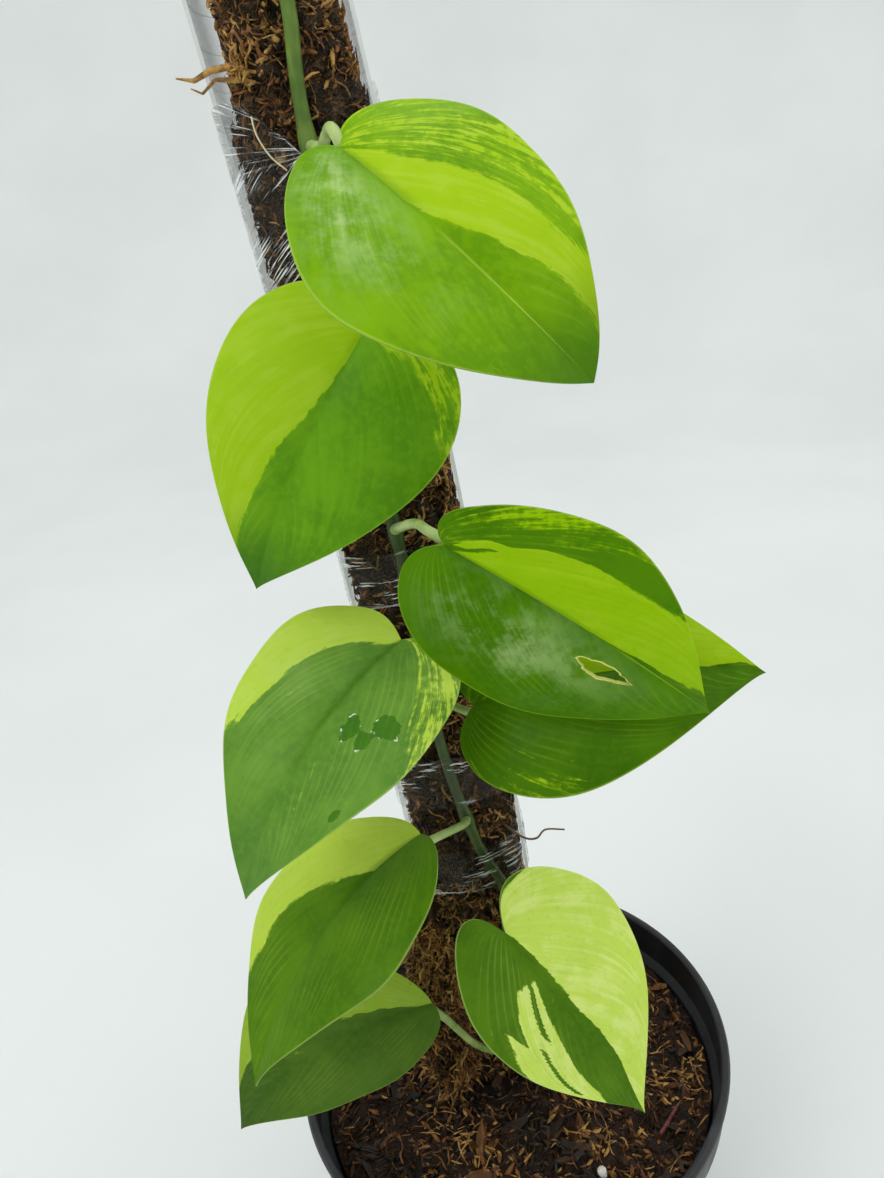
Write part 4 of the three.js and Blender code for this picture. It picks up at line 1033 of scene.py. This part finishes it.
def make_film(name, low, high, dip, finish):
    """A taut band with creases that run round the pole."""
    bm = bmesh.new()
    rim = bm.verts.layers.float.new("rim")
    rows = 44 if high - low > 30 else 22
    bmesh.ops.create_grid(bm, x_segments=150, y_segments=rows, size=1)
    for vert in bm.verts:
        angle, share = math.pi * (vert.co.x - 0.5), (vert.co.y + 1) / 2
        front = max(0, -math.sin(angle))
        slant = 1.5 * math.cos(angle)
        z = low + slant + (high - dip * max(0, math.cos(angle + 1.15)) ** 4 - low) * share
        vert[rim] = smooth(abs(2 * share - 1), 1 - 1.2 / rows, 1)
        gather = 0.5 + 0.5 * math.cos(angle - 0.3)
        where = Vector((math.cos(angle) * 1.6, math.sin(angle) * 1.6, z * (0.35 + 0.25 * gather)))
        ridge = (1 - abs(2 * noise.noise(where))) ** 5
        crease = (0.06 + 0.5 * front) * ridge + 0.08 * noise.noise(where * 3)
        edge = 0.25 * math.sin(angle * 9 + share * 4)
        x, y = film_outline(angle, 0.3 + crease)
        vert.co = (pole_centre(z) + x, y, z + edge)
    bmesh.ops.remove_doubles(bm, verts=bm.verts, dist=1e-3)
    bmesh.ops.recalc_face_normals(bm, faces=bm.faces)
    outer = bmesh.ops.extrude_face_region(bm, geom=bm.faces[:], use_keep_orig=True)["geom"]
    for vert in kind_in(outer, bmesh.types.BMVert):
        vert.co += vert.normal * 0.2
    bmesh.ops.recalc_face_normals(bm, faces=bm.faces)
    piece_from(bm, name.replace("film_wrap", "film_band"), [finish], [name], sharp=80)


# Pot and potting mix

def make_pot(finish):
    profile = ((0, 0), (54, 0), (55.6, 0.4), (56.7, 1.4), (57.1, 2.8), (66, 58), (75.3, 110.8), (75.7, 112),
               (76.6, 112.7), (77.6, 113), (77.9, 113.6), (79.4, 126), (79.9, 127.2), (80, 128), (79.8, 129),
               (79.3, 129.7), (78.4, 130), (77.5, 129.7), (76.9, 129), (76.8, 128), (76.5, 115), (74.1, 112),
               (64.4, 58), (55.4, 4.6), (54.6, 3.2), (53.2, 2.5), (0, 2.5))
    piece = piece_from(turned(profile, 144), "nursery_pot", [finish], ["pot"], sharp=28)
    drill = bmesh.new()
    for k in range(DRAINS):
        angle = math.pi * (2 * k + 1) / DRAINS
        spot = Matrix.Translation((DRAIN_RING * math.cos(angle), DRAIN_RING * math.sin(angle), 0))
        bmesh.ops.create_cone(drill, cap_ends=True, segments=32, radius1=DRAIN_RADIUS, radius2=DRAIN_RADIUS,
                              depth=10, matrix=spot)
    tool = object_from(drill, "drill")
    cut = piece.modifiers.new("drain holes", "BOOLEAN")
    cut.operation = "DIFFERENCE"
    cut.solver = "EXACT"
    cut.object = tool
    bpy.context.view_layer.update()
    done = bpy.data.meshes.new_from_object(piece.evaluated_get(bpy.context.evaluated_depsgraph_get()))
    piece.modifiers.clear()
    piece.data = done
    done.set_sharp_from_angle(angle=math.radians(28))
    bpy.data.objects.remove(tool)


def clods(x, y):
    return math.sin(x * 0.21 + 1.1) * math.cos(y * 0.19 - 0.4) + 0.6 * math.sin(x * 0.43 - y * 0.37)


def soil_height(x, y):
    radius = math.hypot(x, y)
    rough = noise.fractal(Vector((x, y, 0)) * 0.16, 0.9, 2.1, 4)
    mound = SOIL_RISE * (1 - min(radius / SOIL_SLOPE, 1))
    return SOIL_EDGE + mound + 1.4 * clods(x, y) + 1.5 * rough * smooth(radius, 74, 66)


def scattered(rng, reach):
    """An even scatter over a round: distance from the middle and the two sides of the place."""
    radius = reach * math.sqrt(rng.random())
    angle = rng.uniform(0, 2 * math.pi)
    return radius, radius * math.cos(angle), radius * math.sin(angle)


def make_soil(finish):
    """The mix: a plug that fits the pot, with a clodded top."""
    rings = 74
    top = [(73 * (1 - k / rings), SOIL_EDGE) for k in range(rings + 1)]
    bm = turned([(0, 2.9), (51.5, 2.9), (54.7, 6), (72.5, 107), *top], 160)
    for vert in bm.verts:
        if vert.co.z > SOIL_EDGE - 1:
            vert.co.z = soil_height(vert.co.x, vert.co.y)
    piece_from(bm, "mix_plug", [finish], ["soil"], sharp=180)


def make_chips(finish):
    rng = random.Random(31)
    bm = bmesh.new()
    tone = bm.faces.layers.float.new("tone")
    for k in range(1100):
        radius, x, y = scattered(rng, 72)
        length = rng.uniform(2, 6) if k % 5 else rng.uniform(6, 14)
        width, depth = length * rng.uniform(0.14, 0.34), length * rng.uniform(0.1, 0.22)
        reach = 74 - length / 2
        if radius > reach:
            x, y = x * reach / radius, y * reach / radius
        turn = Matrix.Translation((x, y, soil_height(x, y) + rng.uniform(-0.6, 1.4)))
        for lean, axis in ((2 * math.pi, "Z"), (0.5, "Y"), (0.8, "X")):
            turn @= Matrix.Rotation(rng.uniform(0 if axis == "Z" else -lean, lean), 4, axis)
        turn @= Matrix.Diagonal((length, width, depth, 1))
        start = len(bm.faces)
        made = bmesh.ops.create_cube(bm, size=1)["verts"]
        # The keys of a dict keep their order, where a set's would differ from run to run.
        along = dict.fromkeys(edge for vert in made for edge in vert.link_edges
                              if abs(edge.verts[0].co.x - edge.verts[1].co.x) > 0.5)
        bmesh.ops.subdivide_edges(bm, edges=list(along), cuts=2)
        bm.faces.ensure_lookup_table()
        shade = min(max(rng.gauss(0.3 + 0.35 * noise.noise(Vector((x, y, 3)) * 0.045), 0.2), 0), 1)
        verts = dict.fromkeys(vert for face in bm.faces[start:] for vert in face.verts)
        bow = rng.uniform(-0.5, 0.5)
        for vert in verts:
            taper = 1 - 2.2 * vert.co.x ** 2
            vert.co.y = vert.co.y * taper + bow * vert.co.x ** 2 + rng.uniform(-0.2, 0.2)
            vert.co.z = vert.co.z * taper + rng.uniform(-0.2, 0.2)
            vert.co = turn @ vert.co
        for face in bm.faces[start:]:
            face[tone] = shade
    piece_from(bm, "bark_chips", [finish], sharp=35)


def make_litter(finishes):
    """Fine fibres, reddish sticks and three pale grains on top of the mix."""
    rng = random.Random(47)
    fine = [[], [], []]
    for k in range(3800):
        _, x, y = scattered(rng, 71)
        heading = Vector((rng.uniform(-1, 1), rng.uniform(-1, 1), 0))
        root = Vector((x, y, soil_height(x, y) + 0.8))
        if k % 4:
            points, radii = strand(root, heading, rng.uniform(1.5, 5), 0.3, rng.uniform(0.25, 0.7), 0, rng, 4)
            radii[0] *= 0.4
        else:
            points, radii = strand(root, heading, rng.uniform(4, 12), 0.4, rng.uniform(0.12, 0.3), 0, rng, 5)
        held = []
        for p in points:
            shrink = min(1, 73 / max(math.hypot(p.x, p.y), 1))
            spot = Vector((p.x * shrink, p.y * shrink, 0))
            ground = soil_height(spot.x, spot.y)
            spot.z = min(max(p.z, ground), ground + 2.5)
            held.append(spot)
        patch = noise.noise(Vector((x, y, 3)) * 0.045)
        weights = (max(0.55 - 1.2 * patch, 0), 0.34, 0.06 + 1.3 * max(patch, 0))
        rng.choices(fine, weights)[0].append((held, radii))
    bm = rods(*fine)
    sticks = []
    for x, y, turn, length in ((-24, -46, 1.7, 16), (-26, -58, 0.15, 22), (30, -56, -1, 18),
                               (38, -50, -1.4, 13), (52, -30, 0.8, 14), (8, 44, 0.4, 20), (-40, 22, 2.2, 16)):
        way = Vector((math.cos(turn), math.sin(turn), 0.05))
        root = Vector((x, y, soil_height(x, y) + 1.2)) - way * (length / 2)
        sticks.append(([root + way * (length * k / 5) for k in range(6)], (0.9, 0.85, 0.8, 0.75, 0.7, 0.5)))
    add_rods(bm, sticks, 3, roundness=1)
    for x, y, size in ((24, -46, 1.9), (-46, 30, 1.4), (48, 20, 1.2)):
        middle = Vector((x, y, soil_height(x, y) + 1.3))
        for vert in bmesh.ops.create_icosphere(bm, subdivisions=2, radius=1)["verts"]:
            way = vert.co.copy()
            vert.co = way * size * (1 + 0.25 * noise.noise(way * 1.7)) + middle
            for face in vert.link_faces:
                face.material_index = 4
    piece_from(bm, "litter", finishes, sharp=60)


# Setting: floor, lights and camera

def make_stage():
    """A round floor that curves up into a wall on every side."""
    turns = [math.pi / 2 * k / 16 for k in range(1, 17)]
    bend = [(1300 + 1200 * math.sin(turn), 1200 * (1 - math.cos(turn))) for turn in turns]
    floor = object_from(turned([(0, 0), (1300, 0), *bend, (2500, 3200)], 96, 1e-2), "floor")
    look = Finish("pale backdrop", 0.9, 0.1)
    cloud = look.grain(3, 2).step(0.3, 0.7)
    floor.data.materials.append(look.coloured((226, 229, 228), (cloud, (231, 234, 233))))
    floor.data.shade_smooth()


def add_lamp(name, place, size, power, colour=(1, 1, 1)):
    """A round lamp that shines at the lower half of the pole."""
    lamp = bpy.data.lights.new(name, "AREA")
    lamp.shape = "DISK"
    lamp.size = size
    lamp.energy = power
    lamp.color = colour
    holder = add_object(name, lamp)
    holder.location = place
    holder.rotation_euler = (Vector((0, 0, 0.3)) - Vector(place)).to_track_quat("-Z", "Y").to_euler()


def make_lights():
    sky = bpy.data.worlds.new("soft room light")
    sky.use_nodes = True
    sky.node_tree.nodes["Background"].inputs["Color"].default_value = (0.985, 1, 0.99, 1)
    sky.node_tree.nodes["Background"].inputs["Strength"].default_value = 0.87
    scene.world = sky
    add_lamp("window light", (-1.3, -1.3, 2.2), 1.3, 15, (1, 0.99, 0.97))
    add_lamp("room light", (1.5, -1.0, 2.0), 1.4, 5)
    add_lamp("ceiling light", (0.35, 0.35, 2.4), 1.2, 10)


def make_camera():
    tilt, roll = math.radians(23.5), math.radians(-8.5)
    ahead = Vector((0, math.cos(tilt), -math.sin(tilt)))
    level = Vector((1, 0, 0))
    raised = level.cross(ahead)
    right = level * math.cos(roll) + raised * math.sin(roll)
    up = raised * math.cos(roll) - level * math.sin(roll)
    lens = bpy.data.cameras.new("camera")
    lens.lens = 27.2
    lens.sensor_width = 36
    lens.clip_start = 0.01
    scene.camera = add_object("camera", lens)
    turn = Matrix((right, up, -ahead)).transposed()
    scene.camera.matrix_world = Matrix.Translation(Vector((-0.8, -243.5, 424.4)) * MM) @ turn.to_4x4()


scene.view_settings.view_transform = "Standard"
make_camera()
make_stage()
make_lights()

for order, leaf_name in enumerate(LEAVES):
    streaked = 0.55 if leaf_name == "leaf_8" else 0.22
    make_blade(leaf_name, blade_finish("blade of " + leaf_name, *TONES[leaf_name], order * 3.7, streaked))

# The stem's low tone is painted shade on its lower part.
make_stem(skin_finish("smooth green stem", (76, 104, 30), (122, 149, 62), low=(44, 64, 22)))
petiole_skin = skin_finish("pale leaf stalk", (122, 152, 70), (184, 204, 128))
for stalk in range(1, 9):
    make_petiole(stalk, petiole_skin)
make_rolled_leaf(skin_finish("young rolled blade", (140, 190, 70), (184, 214, 110)))

moss_dark = fibre_finish("dark wet moss", (20, 13, 6), (54, 36, 17), (92, 66, 34), roughness=0.5)
moss_brown = fibre_finish("brown moss", (80, 48, 22), (138, 90, 46), (178, 130, 74))
moss_tan = fibre_finish("dry tan moss", (120, 84, 38), (190, 144, 76), (222, 188, 122))
moss_tones = [moss_dark, moss_brown, moss_tan]
make_moss(matted_finish("packed moss", (10, 7, 3), (52, 35, 17), (124, 92, 48)))
make_strands("upper_fibres", 7, 300, 503, 5700, 0, moss_tones)
make_strands("lower_fibres", 8, 112, 300, 4200, 1600, moss_tones)
make_pressed_strands(moss_tones)
make_tufts([moss_tan, skin_finish("pale root", (196, 176, 130), (226, 212, 172)),
            skin_finish("wiry brown root", (84, 58, 40), (128, 98, 70))])

make_channel(trough_finish())
plain_film = film_finish(False)
for band in BANDS:
    make_film(*band, film_finish(True) if band is BANDS[0] else plain_film)

make_pot(pot_finish())
make_soil(soil_finish())
make_chips(chip_finish())
make_litter([*moss_tones, speckled_finish("reddish stick", (86, 34, 34), (128, 66, 58)),
             speckled_finish("white grain", (236, 232, 224), (206, 200, 190))])
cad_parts["roots"].data.materials.clear()
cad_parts["roots"].data.materials.append(skin_finish("buried root", (150, 120, 78), (196, 168, 120)))
